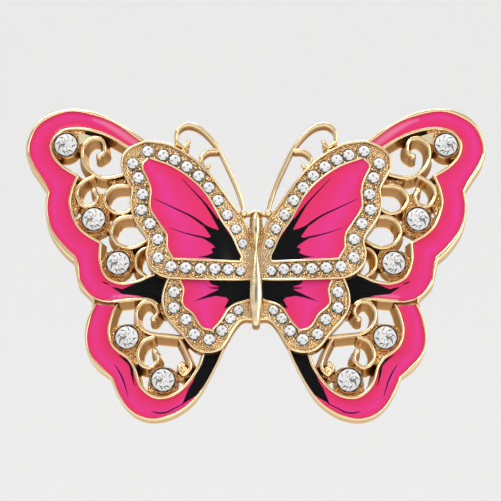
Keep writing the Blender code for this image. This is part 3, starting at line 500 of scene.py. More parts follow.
def curve(points, count):
    """Catmull-Rom curve through the points, read at count even places: each span is
    (2p1 + (p2 - p0)t + (2p0 - 5p1 + 4p2 - p3)t^2 + (3p1 - p0 - 3p2 + p3)t^3) / 2."""
    points = np.asarray(points, float)
    ring = np.vstack([2 * points[:1] - points[1:2], points, 2 * points[-1:] - points[-2:-1]])
    before, start, end, after = ring[:-3, None], ring[1:-2, None], ring[2:-1, None], ring[3:, None]
    t = np.linspace(0, 1, SPAN_POINTS, endpoint=False)[None, :, None]
    square = 2 * before - 5 * start + 4 * end - after
    cubic = 3 * start - before - 3 * end + after
    dense = 0.5 * (2 * start + (end - before) * t + square * t**2 + cubic * t**3)
    dense = np.vstack([dense.reshape(-1, points.shape[1]), points[-1:]])
    along = np.concatenate([[0.0], np.cumsum(np.linalg.norm(np.diff(dense, axis=0), axis=1))])
    places = np.linspace(0, along[-1], count)
    return np.column_stack([np.interp(places, along, dense[:, axis]) for axis in range(points.shape[1])])


def chain(runs, points_each):
    """Runs that meet at corners, as one line."""
    parts = [curve(run, count)[:-1] for run, count in zip(runs, points_each)]
    return np.vstack(parts + [np.asarray(runs[-1][-1:], float)])


def counts(runs, step):
    """How many points each run gets, at about one every step."""
    return [max(3, round(length(run) / step) + 1) for run in runs]


def rails(left, right, step):
    """Two lines of runs, read at matching places."""
    return chain(left, counts(left, step)), chain(right, counts(left, step))


def line(runs, step):
    """One line of runs, read at about every step."""
    return chain(runs, counts(runs, step))


def beside(path, distance):
    """The line moved sideways by the distance, with mitred corners."""
    along = np.diff(path, axis=0)
    along /= np.linalg.norm(along, axis=1)[:, None]
    ahead = np.vstack([along, along[-1:]])
    behind = np.vstack([along[:1], along])
    side = ahead[:, ::-1] * (1, -1) + behind[:, ::-1] * (1, -1)
    share = np.maximum((side**2).sum(axis=1) / 2.0, MITRE_LIMIT)
    return path + side * (np.asarray(distance) / share)[:, None]


def stroke(points, width):
    """The two edges of a stroke whose ends close as half circles: w sqrt(1 - (1 - d/r)^2) near an end."""
    path = line([points], SCROLL_STEP)
    along = np.linspace(0, length(path), len(path))
    from_end = np.minimum(along, along[-1] - along) + END_MARGIN
    closing = np.clip(1.0 - from_end / (width / 2.0), 0.0, 1.0)
    half = width / 2.0 * np.sqrt(1.0 - closing**2)
    return beside(path, -half), beside(path, half)


def crest(low, top, radius, flare=0.0):
    """A wall with a half-round top, as (share across, level): s = (1 + cos a)/2, l = top - r + r sin a.

    Flare is how far its feet spread to each side, as a share of its width.
    """
    turn = np.linspace(math.pi, 0, CREST_POINTS)
    arch = np.column_stack([0.5 + 0.5 * np.cos(turn), top - radius + radius * np.sin(turn)])
    wall = np.array([(-flare, low), (-FOOT_SHARE * flare, low + WALL_FOOT), (0, top - WALL_HEAD)])
    return np.vstack([wall, arch, wall[::-1] * (-1, 1) + (1, 0)])


def slab(low, top, columns):
    """A flat plate's section: up one side, across the top, down the other and back along the bottom."""
    share = np.linspace(0, 1, columns)
    upper = np.column_stack([share, np.full(columns, top)])
    foot = low + WALL_FOOT
    wall = np.array([(0, low), (0, foot), (0, max(top - WALL_HEAD, foot + HAIR))])
    return np.vstack([wall, upper, wall[::-1] * (-1, 1) + (1, 0)])


def granules(u, v):
    """Close little bumps: |sin(9u + 1.7 sin 5v) sin(10v + 1.3 sin 6u)|, from 0 to 1."""
    return np.abs(np.sin(9 * u + 1.7 * np.sin(5 * v)) * np.sin(10 * v + 1.3 * np.sin(6 * u)))


def ring_faces(rows, columns, closed=False):
    """Quads of a tube of closed sections, with a flat cap on each end unless its ends meet."""
    index = np.arange(rows * columns).reshape(rows, columns)
    around = np.hstack([index, index[:, :1]])
    if closed:
        around = np.vstack([around, around[:1]])
    corners = around[:-1, :-1], around[1:, :-1], around[1:, 1:], around[:-1, 1:]
    faces = np.stack(corners, axis=-1).reshape(-1, 4).tolist()
    if not closed:
        faces += [index[0].tolist(), index[-1, ::-1].tolist()]
    return faces


def leaning(points, lean):
    """(u, v, level) with the feet of the walls moved by lean, in pixels to the right and downwards."""
    level = points[:, 2]
    head = level.max() - WALL_HEAD
    sunk = np.clip((head - level) / (head - level.min()), 0, 1)
    return points + sunk[:, None] * (lean[0] * PIXEL, -lean[1] * PIXEL, 0.0)


def band(left, right, section, height=RIM_TOP, grain=0.0, lean=(0.0, 0.0)):
    """A closed strip between two rails: (1 - s) left + s right, at level l, for each (s, l) of its section.

    Grain lifts the highest level by that much of the granules.
    """
    share, level = np.asarray(section, float).T
    across = left[:, None] * (1 - share)[:, None] + right[:, None] * share[:, None]
    flat = plane(across.reshape(-1, 2), height)
    level = np.tile(level, len(left))
    level = level + grain * (level == level.max()) * granules(*flat.T)
    return leaning(np.column_stack([flat, level]), lean), ring_faces(len(left), len(share))


def turned(profile, centre, sides, closed=False):
    """A turned piece: (r cos a, r sin a, level) round its centre for each (r, level) of the profile."""
    radius, level = np.asarray(profile, float).T
    angle = np.arange(sides) * 2 * math.pi / sides
    u = centre[0] + radius[:, None] * np.cos(angle)
    v = centre[1] + radius[:, None] * np.sin(angle)
    points = np.column_stack([u.ravel(), v.ravel(), np.repeat(level, sides)])
    return points, ring_faces(len(profile), sides, closed)


def ball(centre, level, radius, sides=16, rows=9):
    """A bead: (r sin b cos a, r sin b sin a, level - r cos b), with b kept off the poles."""
    turn = np.linspace(POLE, math.pi - POLE, rows)
    return turned(np.column_stack([radius * np.sin(turn), level - radius * np.cos(turn)]), centre, sides)


def peg(centre, low, top, radius):
    """A round post with a domed head, r cos a and top - r + r sin a, on a foot that spreads and leans."""
    turn = np.linspace(0, math.pi / 2 - POLE, DOME_POINTS)
    dome = np.column_stack([radius * np.cos(turn), top - radius + radius * np.sin(turn)])
    spread = PEG_FLARE * PIXEL
    foot = [
        (radius + spread, low),
        (radius + FOOT_SHARE * spread, low + WALL_FOOT),
        (radius, top - WALL_HEAD),
    ]
    points, faces = turned(np.vstack([foot, dome]), centre, PEG_SIDES)
    return leaning(points, LEAN), faces


def placed(shape, carry):
    """The shape with its points carried into the frame."""
    points, faces = shape
    return carry(points), faces


def mirror(shape):
    """The right-hand twin, with its faces turned round again."""
    points, faces = shape
    return points * (-1, 1, 1), [face[::-1] for face in faces]


def outward(shape):
    """The shape with its faces pointing out: they are turned round where the signed volume is negative."""
    points, faces = shape
    fans = np.array([(face[0], face[i], face[i + 1]) for face in faces for i in range(1, len(face) - 1)])
    a, b, c = points[fans[:, 0]], points[fans[:, 1]], points[fans[:, 2]]
    if np.einsum("ij,ij->i", a, np.cross(b, c)).sum() < 0:
        faces = [face[::-1] for face in faces]
    return points, faces


def both(shapes, carry):
    """Left shapes carried into the frame, and their right-hand twins."""
    left = [outward(placed(shape, carry)) for shape in shapes]
    return left + [mirror(shape) for shape in left]


def wall_recess(points, level_of, grain):
    """How deep in shadow each point of a shape lies: 0 on its crest and on its back, 1 down its walls.

    On a granular top, the pits between the granules lie in a part of that shadow.
    """
    level = level_of(points)
    below = level.max() - level
    off_back = np.clip((level - level.min()) / WALL_FOOT, 0, 1)
    walls = np.clip((below - RECESS_START) / RECESS_REACH, 0, 1) * off_back
    if grain == 0.0:
        return walls
    return np.where(below < grain + HAIR, PIT_SHADE * np.clip(below / grain, 0, 1)**2, walls)


def piece(name, shapes, materials, slot, nodes=(), body="brooch", sharp=SHARP_ANGLE, values=None, index=None,
          level_of=wing_level, shade=1.0, grain=0.0):
    """One object from closed shapes in millimetres. values are named numbers for each point."""
    points, faces, recess, first = [], [], [], 0
    for each, corners in shapes:
        points.append(each)
        # Painted shade: brown down each shape's walls and in the pits of its granules, scaled by shade
        recess.append(shade * wall_recess(each, level_of, grain))
        faces += [[corner + first for corner in face] for face in corners]
        first += len(each)
    mesh = bpy.data.meshes.new(name)
    mesh.from_pydata((np.vstack(points) * MM).tolist(), [], faces)
    for material in materials:
        mesh.materials.append(material)
    if index is not None:
        mesh.polygons.foreach_set("material_index", index)
    values = {"recess": np.concatenate(recess), **(values or {})}
    for key, value in values.items():
        mesh.attributes.new(key, "FLOAT", "POINT").data.foreach_set("value", np.asarray(value, np.float32))
    mesh.shade_smooth()
    mesh.set_sharp_from_angle(angle=math.radians(sharp))
    mesh.update()
    obj = bpy.data.objects.new(name, mesh)
    bpy.context.scene.collection.objects.link(obj)
    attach(obj, body)
    if nodes:
        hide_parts(*nodes)


def lower_piece(name, shapes, finish, **more):
    """A piece of the lower wing casting, from its left shapes."""
    piece(name, both(shapes, on_wing), [finish], "gold_plate", ["lower_wing_casting"], **more)


def upper_piece(name, shapes, finish, **more):
    """A piece of the upper wing casting, from its left shapes."""
    piece(name, both(shapes, on_upper), [finish], "gold_plate", ["upper_wing_casting"],
          level_of=upper_level, **more)


def new_material(name):
    """A material, its nodes and links, and its shader."""
    material = bpy.data.materials.new(name)
    material.use_nodes = True
    tree = material.node_tree
    return material, tree.nodes, tree.links, tree.nodes["Principled BSDF"]


def surface_grain():
    """A group that gives soft colour clouds and a fine bump height, from Object coordinates."""
    group = bpy.data.node_groups.new("surface grain", "ShaderNodeTree")
    group.interface.new_socket("Vector", in_out="INPUT", socket_type="NodeSocketVector")
    for name in ("Cloud", "Grain"):
        group.interface.new_socket(f"{name} Scale", in_out="INPUT", socket_type="NodeSocketFloat")
        group.interface.new_socket(name, in_out="OUTPUT", socket_type="NodeSocketFloat")
    nodes, links = group.nodes, group.links
    entry, leave = nodes.new("NodeGroupInput"), nodes.new("NodeGroupOutput")
    for name, detail in (("Cloud", 3.0), ("Grain", 5.0)):
        noise = nodes.new("ShaderNodeTexNoise")
        noise.inputs["Detail"].default_value = detail
        links.new(entry.outputs["Vector"], noise.inputs["Vector"])
        links.new(entry.outputs[f"{name} Scale"], noise.inputs["Scale"])
        links.new(noise.outputs["Fac"], leave.inputs[name])
    return group


def add_grain(nodes, links, group, cloud, grain):
    """The surface grain on Object coordinates, at its two scales."""
    place = nodes.new("ShaderNodeTexCoord")
    node = nodes.new("ShaderNodeGroup")
    node.node_tree = group
    node.inputs["Cloud Scale"].default_value = cloud
    node.inputs["Grain Scale"].default_value = grain
    links.new(place.outputs["Object"], node.inputs["Vector"])
    return node


def add_bump(nodes, links, height, shader, strength, distance):
    """A bump of this height on the shader's normal."""
    bump = nodes.new("ShaderNodeBump")
    bump.inputs["Strength"].default_value = strength
    bump.inputs["Distance"].default_value = distance
    links.new(height, bump.inputs["Height"])
    links.new(bump.outputs["Normal"], shader.inputs["Normal"])


def add_ramp(nodes, links, source, low, high, start=0.0, end=1.0):
    """A colour between low and high as the source goes from start to end."""
    ramp = nodes.new("ShaderNodeValToRGB")
    ramp.color_ramp.elements[0].position = start
    ramp.color_ramp.elements[0].color = (*low, 1.0)
    ramp.color_ramp.elements[1].position = end
    ramp.color_ramp.elements[1].color = (*high, 1.0)
    links.new(source, ramp.inputs["Fac"])
    return ramp.outputs["Color"]


def add_range(nodes, links, source, start, end, low, high):
    """A number from low to high as the source goes from start to end."""
    node = nodes.new("ShaderNodeMapRange")
    node.inputs["From Min"].default_value = start
    node.inputs["From Max"].default_value = end
    node.inputs["To Min"].default_value = low
    node.inputs["To Max"].default_value = high
    links.new(source, node.inputs["Value"])
    return node.outputs["Result"]


def add_mix(nodes, links, factor, first, second):
    """A colour that goes from the first socket or colour to the second with the factor."""
    mix = nodes.new("ShaderNodeMix")
    mix.data_type = "RGBA"
    colours = [socket for socket in mix.inputs if socket.type == "RGBA"]
    links.new(factor, mix.inputs["Factor"])
    for socket, value in zip(colours, (first, second)):
        if isinstance(value, tuple):
            socket.default_value = (*value, 1.0)
        else:
            links.new(value, socket)
    return [socket for socket in mix.outputs if socket.type == "RGBA"][0]


def add_attribute(nodes, name):
    """A named number of the piece's points."""
    node = nodes.new("ShaderNodeAttribute")
    node.attribute_name = name
    return node.outputs["Fac"]


def gold_with_painted_shade(name, group, low, high, roughness, grain_depth):
    """Plated metal: warm clouds between two golds, painted brown shade on walls and pits, a wandering
    roughness and a cast skin.
    """
    material, nodes, links, shader = new_material(name)
    grain = add_grain(nodes, links, group, *GOLD_NOISE)
    plate = add_ramp(nodes, links, grain.outputs["Cloud"], low, high, *NOISE_SPAN)
    # Painted shade: down the walls and in the pits the colour goes to brown, the reflections' tint browns
    # and the metal grows less metallic
    recess = add_attribute(nodes, "recess")
    shade = add_range(nodes, links, recess, 0.0, 1.0, 0.0, WALL_SHADE)
    links.new(add_ramp(nodes, links, recess, EDGE_GOLD, PAINTED_SHADE_TINT), shader.inputs["Specular Tint"])
    plate = add_mix(nodes, links, shade, plate, PAINTED_SHADE_BROWN)
    plate = add_mix(nodes, links, add_attribute(nodes, "line"), plate, LINE_DARK)
    links.new(plate, shader.inputs["Base Color"])
    smooth, rough = (roughness * share for share in ROUGHNESS_SPAN)
    links.new(add_range(nodes, links, grain.outputs["Grain"], *NOISE_SPAN, smooth, rough),
              shader.inputs["Roughness"])
    add_bump(nodes, links, grain.outputs["Grain"], shader, GOLD_BUMP, grain_depth)
    links.new(add_range(nodes, links, recess, 0.0, 1.0, 1.0, WALL_METAL), shader.inputs["Metallic"])
    return material


def enamel_with_painted_highlight(group):
    """Glossy pink enamel, with black painted where the piece's paint number is above zero, and a painted
    highlight of paler pink.
    """
    material, nodes, links, shader = new_material("pink and black enamel")
    grain = add_grain(nodes, links, group, *ENAMEL_NOISE)
    mask = add_range(nodes, links, add_attribute(nodes, "paint"), -PAINT_EDGE, PAINT_EDGE, 0.0, 1.0)
    ridge = add_ramp(nodes, links, add_attribute(nodes, "across"), PINK_RED, PINK_RED, 0.0, 1.0)
    stops = ridge.node.color_ramp.elements
    for place, colour in PINK_STOPS:
        stops.new(place).color = (*colour, 1.0)
    cloud = add_range(nodes, links, grain.outputs["Cloud"], *CLOUD_SPAN, 0.0, CLOUD_STRENGTH)
    pink = add_mix(nodes, links, cloud, ridge, PINK_ROSE)
    # Painted highlight: paler pink inside the painted highlight streaks
    painted_highlight = add_range(nodes, links, add_attribute(nodes, "painted_highlight"), *HIGHLIGHT_SPAN, 0.0, HIGHLIGHT_STRENGTH)
    pink = add_mix(nodes, links, painted_highlight, pink, HIGHLIGHT_PINK)
    links.new(add_mix(nodes, links, mask, pink, PAINT_BLACK), shader.inputs["Base Color"])
    add_bump(nodes, links, grain.outputs["Grain"], shader, ENAMEL_BUMP, ENAMEL_BUMP_DEPTH)
    for socket, value in ENAMEL_POLISH.items():
        shader.inputs[socket].default_value = value
    return material


def painted_facet_reflection(name, group, low, high):
    """One painted reflection on a foiled stone's facets, a little cloudy, under a hard polish."""
    material, nodes, links, shader = new_material(name)
    grain = add_grain(nodes, links, group, *FACET_NOISE)
    tone = add_ramp(nodes, links, grain.outputs["Cloud"], low, high, *NOISE_SPAN)
    links.new(tone, shader.inputs["Base Color"])
    for socket, value in FACET_POLISH.items():
        shader.inputs[socket].default_value = value
    return material


def granular_fill(centre, reach):
    """A ring of granules round a collar, whose outer radius follows the given angles."""
    degrees, radius = np.asarray(reach, float).T
    turn = np.linspace(degrees[0], degrees[-1], FILL_ROWS)
    outer = np.interp(turn, degrees, radius)[:, None]
    ray = np.column_stack([np.cos(np.radians(turn)), np.sin(np.radians(turn))])
    section = slab(FILL_BACK, FILL_TOP, FILL_COLUMNS)
    return band(centre + FILL_INSIDE * ray, centre + outer * ray, section, grain=FILL_GRAIN)


def neck(gold):
    """Root balls of the antennae, the collar arc over the head, struts beside the body, and the tail."""
    wall = crest(NECK_LOW, NECK_TOP, NECK_ROUND)
    shapes = [band(*stroke(points, NECK_WIDTH), wall, NECK_TOP) for points in (NECK_ARC, NECK_LINK)]
    web = curve(NECK_WEB, NECK_ROWS)
    middle = np.column_stack([np.full(len(web), PHOTO_CENTRE[0]), web[:, 1]])
    shapes.append(band(web, middle, slab(NECK_LOW, NECK_WEB_TOP, NECK_COLUMNS), NECK_TOP, grain=NECK_GRAIN))
    shapes.append(ball(plane([ROOT_BALL], ROOT_LEVEL)[0], ROOT_LEVEL, ROOT_RADIUS))
    tail = band(*stroke(TAIL, TAIL_WIDTH), crest(RIM_BACK, TAIL_TOP, TAIL_ROUND), TAIL_TOP)
    shapes = both(shapes, on_body) + [outward(placed(tail, on_body))]
    piece("neck_and_tail", shapes, [gold], "gold_plate", ["upper_wing_casting"],
          level_of=upper_level)


def hole_wall(left, right, width, low, top, radius):
    """A wall beside an opening, whose feet spread and lean."""
    return band(left, right, crest(low, top, radius, flare=FLARE / width), lean=LEAN)


def lower_rims(gold):
    """Outer and inner rims of the lower wings, and the divider between the two wings."""
    fore_inner = line(FORE_CELL_INNER, RIM_STEP)
    outer = [band(*rails(edge, cell, RIM_STEP), crest(RIM_BACK, RIM_TOP, RIM_ROUND))
             for edge, cell in ((FORE_EDGE, FORE_CELL_OUTER), (HIND_EDGE, HIND_CELL_OUTER))]
    lower_piece("outer_wing_rims", outer, gold, shade=OUTER_SHADE)
    inner = [
        hole_wall(fore_inner, beside(fore_inner, INNER_RIM), INNER_RIM, RIM_BACK, RIM_TOP, INNER_ROUND),
        hole_wall(*rails(HIND_CELL_INNER, HIND_OPEN, RIM_STEP), INNER_RIM, RIM_BACK + LAYER, RIM_TOP,
                  INNER_ROUND),
        band(*stroke(DIVIDER_THIN, DIVIDER_THIN_WIDTH),
             crest(RIM_BACK + 2 * LAYER, RIM_TOP - THIN_DROP, THIN_ROUND)),
        hole_wall(*stroke(DIVIDER, DIVIDER_WIDTH), DIVIDER_WIDTH, RIM_BACK + 3 * LAYER, RIM_TOP, RIM_ROUND),
    ]
    lower_piece("inner_wing_rims", inner, gold)


def lower_scrolls(gold):
    """Scrolls with pegs on their ends."""
    scrolls = [
        hole_wall(*stroke(points, SCROLL_WIDTH), SCROLL_WIDTH, SCROLL_BACK + LAYER * i, SCROLL_TOP,
                  SCROLL_ROUND)
        for i, points in enumerate(SCROLLS)
    ]
    scrolls += [peg(tip, SCROLL_BACK - LAYER, SCROLL_TOP + TIP_RISE, TIP_RADIUS)
                for tip in plane(SCROLL_TIPS)]
    lower_piece("lower_wing_scrolls", scrolls, gold)


def stone_settings(gold, pale):
    """Granules round the collars and between the scrolls, flat gussets, and the collars with their webs."""
    fills = [granular_fill(CRYSTALS[name], reach) for name, reach in FILLS.items()]
    for i, (left, right) in enumerate(PATCHES, 1):
        section = slab(FILL_BACK + LAYER * i, FILL_TOP, FILL_COLUMNS)
        fills.append(band(*rails([left], [right], BED_STEP), section, grain=FILL_GRAIN))
    lower_piece("collar_granules", fills, gold, grain=FILL_GRAIN)
    gusset = band(*np.array(GUSSET, float), slab(FILL_BACK, GUSSET_TOP, 2))
    # Painted light: the gussets take the paler copy of the gold
    lower_piece("corner_gussets", [gusset], pale)
    collars = [turned(COLLAR, place, COLLAR_SIDES) for place in plane(list(CRYSTALS.values()))]
    webs = [band(*stroke(points, WEB_WIDTH), crest(FILL_BACK, WEB_TOP, WEB_ROUND)) for points in WEBS]
    lower_piece("stone_collars", collars + webs, gold)


def lower_plates(gold):
    """The flat plates under the enamel and under the inner wings."""
    fore_edge = FORE_EDGE[:2] + [FORE_EDGE[2] + FORE_PLATE_FOOT]
    fore_outer, fore_hole = rails(fore_edge, FORE_CELL_INNER, RIM_STEP)
    hind_outer, hind_hole = rails(HIND_EDGE, HIND_OPEN, RIM_STEP)
    section = slab(PLATE_BACK, ENAMEL_FLOOR, 2)
    plates = [
        band(beside(fore_outer, -PLATE_INSET), beside(fore_hole, PLATE_OVERHANG), section),
        band(beside(hind_outer, PLATE_INSET), hind_hole, section),
    ]
    plates += [band(left, right, slab(BASE, PLATE_TOP, 2), height) for left, right, height in wing_plans()]
    lower_piece("lower_wing_plates", plates, gold)


def wing_plans():
    """The two edges of each inner wing's plan, from tip to base, and the height that they are drawn at."""
    fore = rails([FORE_LEFT], [FORE_RIGHT + FORE_MIDDLE[1:]], BED_STEP)
    hind = rails([HIND_LEFT[:0:-1], HIND_LEFT[1::-1]], [HIND_RIGHT, HIND_MIDDLE], BED_STEP)
    return [(*fore, FORE_RIM), (*hind, HIND_RIM)]


def upper_metal(gold):
    """Cores with granular beds, and rims, of the inner wings."""
    (fore_left, fore_right, _), (hind_left, hind_right, _) = wing_plans()
    fore_section = slab(UPPER_BACK, FORE_BED, FORE_BED_COLUMNS)
    hind_section = slab(UPPER_BACK, HIND_BED, HIND_BED_COLUMNS)
    cores = {
        "upper_forewing_cores": band(fore_left, fore_right, fore_section, FORE_RIM, grain=BED_GRAIN),
        "upper_hindwing_cores": band(hind_left, hind_right, hind_section, HIND_RIM, grain=BED_GRAIN),
    }
    for name, core in cores.items():
        upper_piece(name, [core], gold, grain=BED_GRAIN)

    fore_edge = line([FORE_FOOT[::-1] + FORE_LEFT[::-1][1:-1] + FORE_RIGHT], RIM_STEP)
    hind_edge = line([HIND_LEFT + HIND_RIGHT[1:]], RIM_STEP)
    fore_cell = line([FORE_CELL_LEFT, FORE_CELL_FOOT, FORE_CELL_RIGHT[::-1]], RIM_STEP)
    hind_cell = line([HIND_CELL_LEFT, HIND_CELL_RIGHT], RIM_STEP)
    walls = [(fore_edge, UPPER_RIM, FORE_RIM), (hind_edge, -UPPER_RIM, HIND_RIM),
             (fore_cell, -UPPER_RIM, FORE_RIM), (hind_cell, -UPPER_RIM, HIND_RIM)]
    rims = [band(path, beside(path, width), crest(UPPER_BACK, top, UPPER_ROUND), top)
            for path, width, top in walls]
    upper_piece("upper_wing_rims", rims, gold)


def antennae(gold):
    """The curled antennae, with the lumps under their curls and beads on their ends."""
    strand = crest(ANTENNA_BACK, ANTENNA_TOP, ANTENNA_ROUND)
    base = crest(ANTENNA_BACK, ANTENNA_BASE_TOP, BASE_ROUND)
    shapes = [band(*stroke(points, ANTENNA_WIDTH), strand, ANTENNA_TOP)
              for points in (ANTENNA, ANTENNA_BRANCH)]
    shapes += [band(*stroke(points, ANTENNA_BASE_WIDTH), base, ANTENNA_TOP) for points in ANTENNA_BASES]
    shapes += [ball(place, ANTENNA_TOP - LUMP_DEPTH, LUMP_RADIUS)
               for place in plane(ANTENNA_LUMPS, ANTENNA_TOP)]
    shapes += [ball(place, ANTENNA_TOP - ANTENNA_TIP_DEPTH, ANTENNA_TIP_RADIUS)
               for place in plane(ANTENNA_TIPS, ANTENNA_TOP)]
    upper_piece("antennae", shapes, gold)


def body_metal(pale):
    """The round-fronted body: (r cos a, axis + d r sin a) for each half width r, with its back cut flat.

    Its dark lines swell and fade as 4t(1 - t) from end to end.
    """
    half, height = curve(SPINDLE, SPINDLE_ROWS).T
    rows = plane(np.column_stack([PHOTO_CENTRE[0] + half, height]), SPINDLE_AXIS)
    angle = np.arange(SPINDLE_SIDES) * 2 * math.pi / SPINDLE_SIDES
    x = rows[:, :1] * np.cos(angle)
    level = np.maximum(SPINDLE_AXIS + SPINDLE_DEPTH * rows[:, :1] * np.sin(angle), SPINDLE_FLAT)
    z = np.repeat(rows[:, 1], len(angle))
    points = np.column_stack([x.ravel(), -level.ravel(), z])
    shape = outward((points, ring_faces(len(rows), len(angle))))
    dark = np.zeros(len(points))
    for ends in SPINDLE_LINES:
        top, bottom = plane([(PHOTO_CENTRE[0], end) for end in ends], SPINDLE_AXIS)[:, 1]
        share = (z - bottom) / (top - bottom)
        dark += np.clip(4 * share * (1 - share), 0, 1)
    dark *= np.clip(LINE_FADE - np.abs(points[:, 0]) / SPINDLE_LINE, 0, 1) * (level.ravel() > SPINDLE_AXIS)
    # Painted light: the body takes the paler copy of the gold
    piece("body_spindle_fine", [shape], [pale], "gold_plate", ["body_spindle"],
          values={"recess": 0 * dark, "line": dark})


def segment_distance(points, ends):
    """Distance from each point to each straight piece of a line, and the share of it where that is least."""
    start, step = ends[:-1, :2], np.diff(ends[:, :2], axis=0)
    share = np.einsum("ijk,jk->ij", points[:, None] - start, step) / (step**2).sum(axis=1)
    share = np.clip(share, 0.0, 1.0)
    nearest = start + share[:, :, None] * step
    return np.linalg.norm(points[:, None] - nearest, axis=2), share


def patch_paint(points, corners):
    """Signed distance to a filled outline, above zero inside it, by counting crossings."""
    ring = np.vstack([corners, corners[:1]]).astype(float)
    distance = segment_distance(points, ring)[0].min(axis=1)
    x, y = points[:, :1], points[:, 1:]
    (x0, y0), (x1, y1) = ring[:-1].T, ring[1:].T
    rise = np.where(y1 == y0, 1.0, y1 - y0)
    crosses = ((y0 > y) != (y1 > y)) & (x < x0 + (y - y0) * (x1 - x0) / rise)
    return np.where(crosses.sum(axis=1) % 2 == 1, distance, -distance)


def stroke_paint(points, stroke_points):
    """Distance inside a brush stroke: its half width there, less the distance from its line."""
    fine = curve(stroke_points, STROKE_POINTS)
    distance, share = segment_distance(points, fine)
    half = fine[:-1, 2] + share * np.diff(fine[:, 2])
    return (half - distance).max(axis=1)


def enamel_fill(name, left, right, floor, top, height, carry, patch, strokes, enamel, highlight_strokes=()):
    """A fill between two edges whose surface dips in the middle: level = top + lift (|2s - 1|^4 - even)."""
    columns = int(np.linalg.norm(left - right, axis=1).max() / ENAMEL_STEP) + 2
    share = np.linspace(0, 1, columns)
    level = top + ENAMEL_LIFT * (np.abs(2 * share - 1)**4 - ENAMEL_EVEN)
    section = np.vstack([[(0, floor)], np.column_stack([share, level]), [(1, floor)]])
    shape = band(left, right, section, height)
    across = section[:, :1]
    pixels = (left[:, None] * (1 - across) + right[:, None] * across).reshape(-1, 2)
    paint = np.maximum.reduce([patch_paint(pixels, np.array(patch, float))]
                              + [stroke_paint(pixels, each) for each in strokes])
    # Painted highlight: how far inside a highlight streak each point lies
    painted_highlight = np.maximum.reduce([np.full(len(pixels), -PAINT_REACH)]
                              + [stroke_paint(pixels, each) for each in highlight_strokes])
    values = {
        "paint": np.clip(paint, -PAINT_REACH, PAINT_REACH),
        "painted_highlight": np.clip(painted_highlight, -PAINT_REACH, PAINT_REACH),
        "across": np.tile(section[:, 0], len(left)),
    }
    left_shape = outward(placed(shape, carry))
    for side, each in (("left", left_shape), ("right", mirror(left_shape))):
        piece(f"{name}_fill_{side}", [each], [enamel], "enamel", [f"{name}_{side}"], values=values)


def enamel_fills(enamel):
    """All eight fills."""
    outer = FORE_CELL_OUTER[:2] + [FORE_CELL_OUTER[2] + FORE_CELL_LOWER[1:]]
    fore = rails(outer, FORE_CELL_INNER, ENAMEL_STEP)
    enamel_fill("lower_forewing_enamel", *fore, ENAMEL_FLOOR, ENAMEL_TOP, RIM_TOP, on_wing,
                FORE_CHANNEL_BLACK, FORE_CHANNEL_STROKES, enamel, FORE_CHANNEL_HIGHLIGHTS)
    hind = rails(HIND_CELL_OUTER, HIND_CELL_INNER, ENAMEL_STEP)
    enamel_fill("lower_hindwing_enamel", *hind, ENAMEL_FLOOR, ENAMEL_TOP, RIM_TOP, on_wing,
                HIND_CHANNEL_BLACK, HIND_CHANNEL_STROKES, enamel)
    fore_cell = rails([FORE_CELL_LEFT], [FORE_CELL_RIGHT], ENAMEL_STEP)
    enamel_fill("upper_forewing_enamel", *fore_cell, FORE_BED - ENAMEL_SINK, FORE_ENAMEL, FORE_RIM, on_upper,
                FORE_CELL_BLACK, FORE_CELL_STROKES, enamel)
    hind_cell = rails([HIND_CELL_LEFT], [HIND_CELL_MIDDLE[::-1] + HIND_CELL_RIGHT[::-1][1:]], ENAMEL_STEP)
    enamel_fill("upper_hindwing_enamel", *hind_cell, HIND_BED - ENAMEL_SINK, HIND_ENAMEL, HIND_RIM, on_upper,
                HIND_CELL_BLACK, HIND_CELL_STROKES, enamel)


def circle(count, radius, height, turn=0.0):
    """Points at even angles round a level circle, turned by a share of one step."""
    angle = (np.arange(count) + turn) * 2 * math.pi / count
    return np.column_stack([radius * np.cos(angle), radius * np.sin(angle), np.full(count, height)])


def cut_stone(sides, rings, tones, depth):
    """A faceted stone of unit radius: rings of points from the middle out, each turned half a step.

    tones holds the reflection painted on each facet: round the middle, then for each pair of rings the
    facets that stand on the inner ring and those that stand on the outer one. The facets under the girdle
    take the last tone.
    """
    k = np.arange(sides)
    after = (k + 1) % sides
    points = [np.array([(0.0, 0.0, rings[0][1])])]
    points += [circle(sides, radius, height, 0.5 * turn) for turn, (radius, height) in enumerate(rings)]
    points.append(np.array([(0.0, 0.0, -depth)]))
    faces = np.column_stack([np.zeros(sides, int), 1 + k, 1 + after]).tolist()
    for ring in range(len(rings) - 1):
        inner, outer = 1 + ring * sides, 1 + (ring + 1) * sides
        if ring % 2 == 0:
            faces += np.column_stack([inner + k, outer + k, inner + after]).tolist()
            faces += np.column_stack([inner + after, outer + k, outer + after]).tolist()
        else:
            faces += np.column_stack([inner + k, outer + after, inner + after]).tolist()
            faces += np.column_stack([inner + k, outer + k, outer + after]).tolist()
    last = 1 + (len(rings) - 1) * sides
    faces += np.column_stack([last + k, np.full(sides, last + sides), last + after]).tolist()
    index = np.concatenate([np.resize(tone, sides) for tone in tones]).tolist()
    return np.vstack(points), faces, index


def stones(name, centres, radii, girdle, cut, carry, facets):
    """A row of stones as one piece, on the left and on the right."""
    points, faces, tones = cut
    shapes = [outward(placed((points * radius + (*centre, girdle), faces), carry))
              for centre, radius in zip(centres, radii)]
    index = tones * len(centres)
    for side, each in (("left", shapes), ("right", [mirror(shape) for shape in shapes])):
        piece(f"{name}_cut_{side}", each, facets, "crystal", [f"{name}_{side}"], sharp=FACET_SHARP,
              index=index)


def row_levels(row):
    """The rim and the bed beside a row of small stones."""
    return (HIND_RIM, HIND_BED) if row == "hind" else (FORE_RIM, FORE_BED)


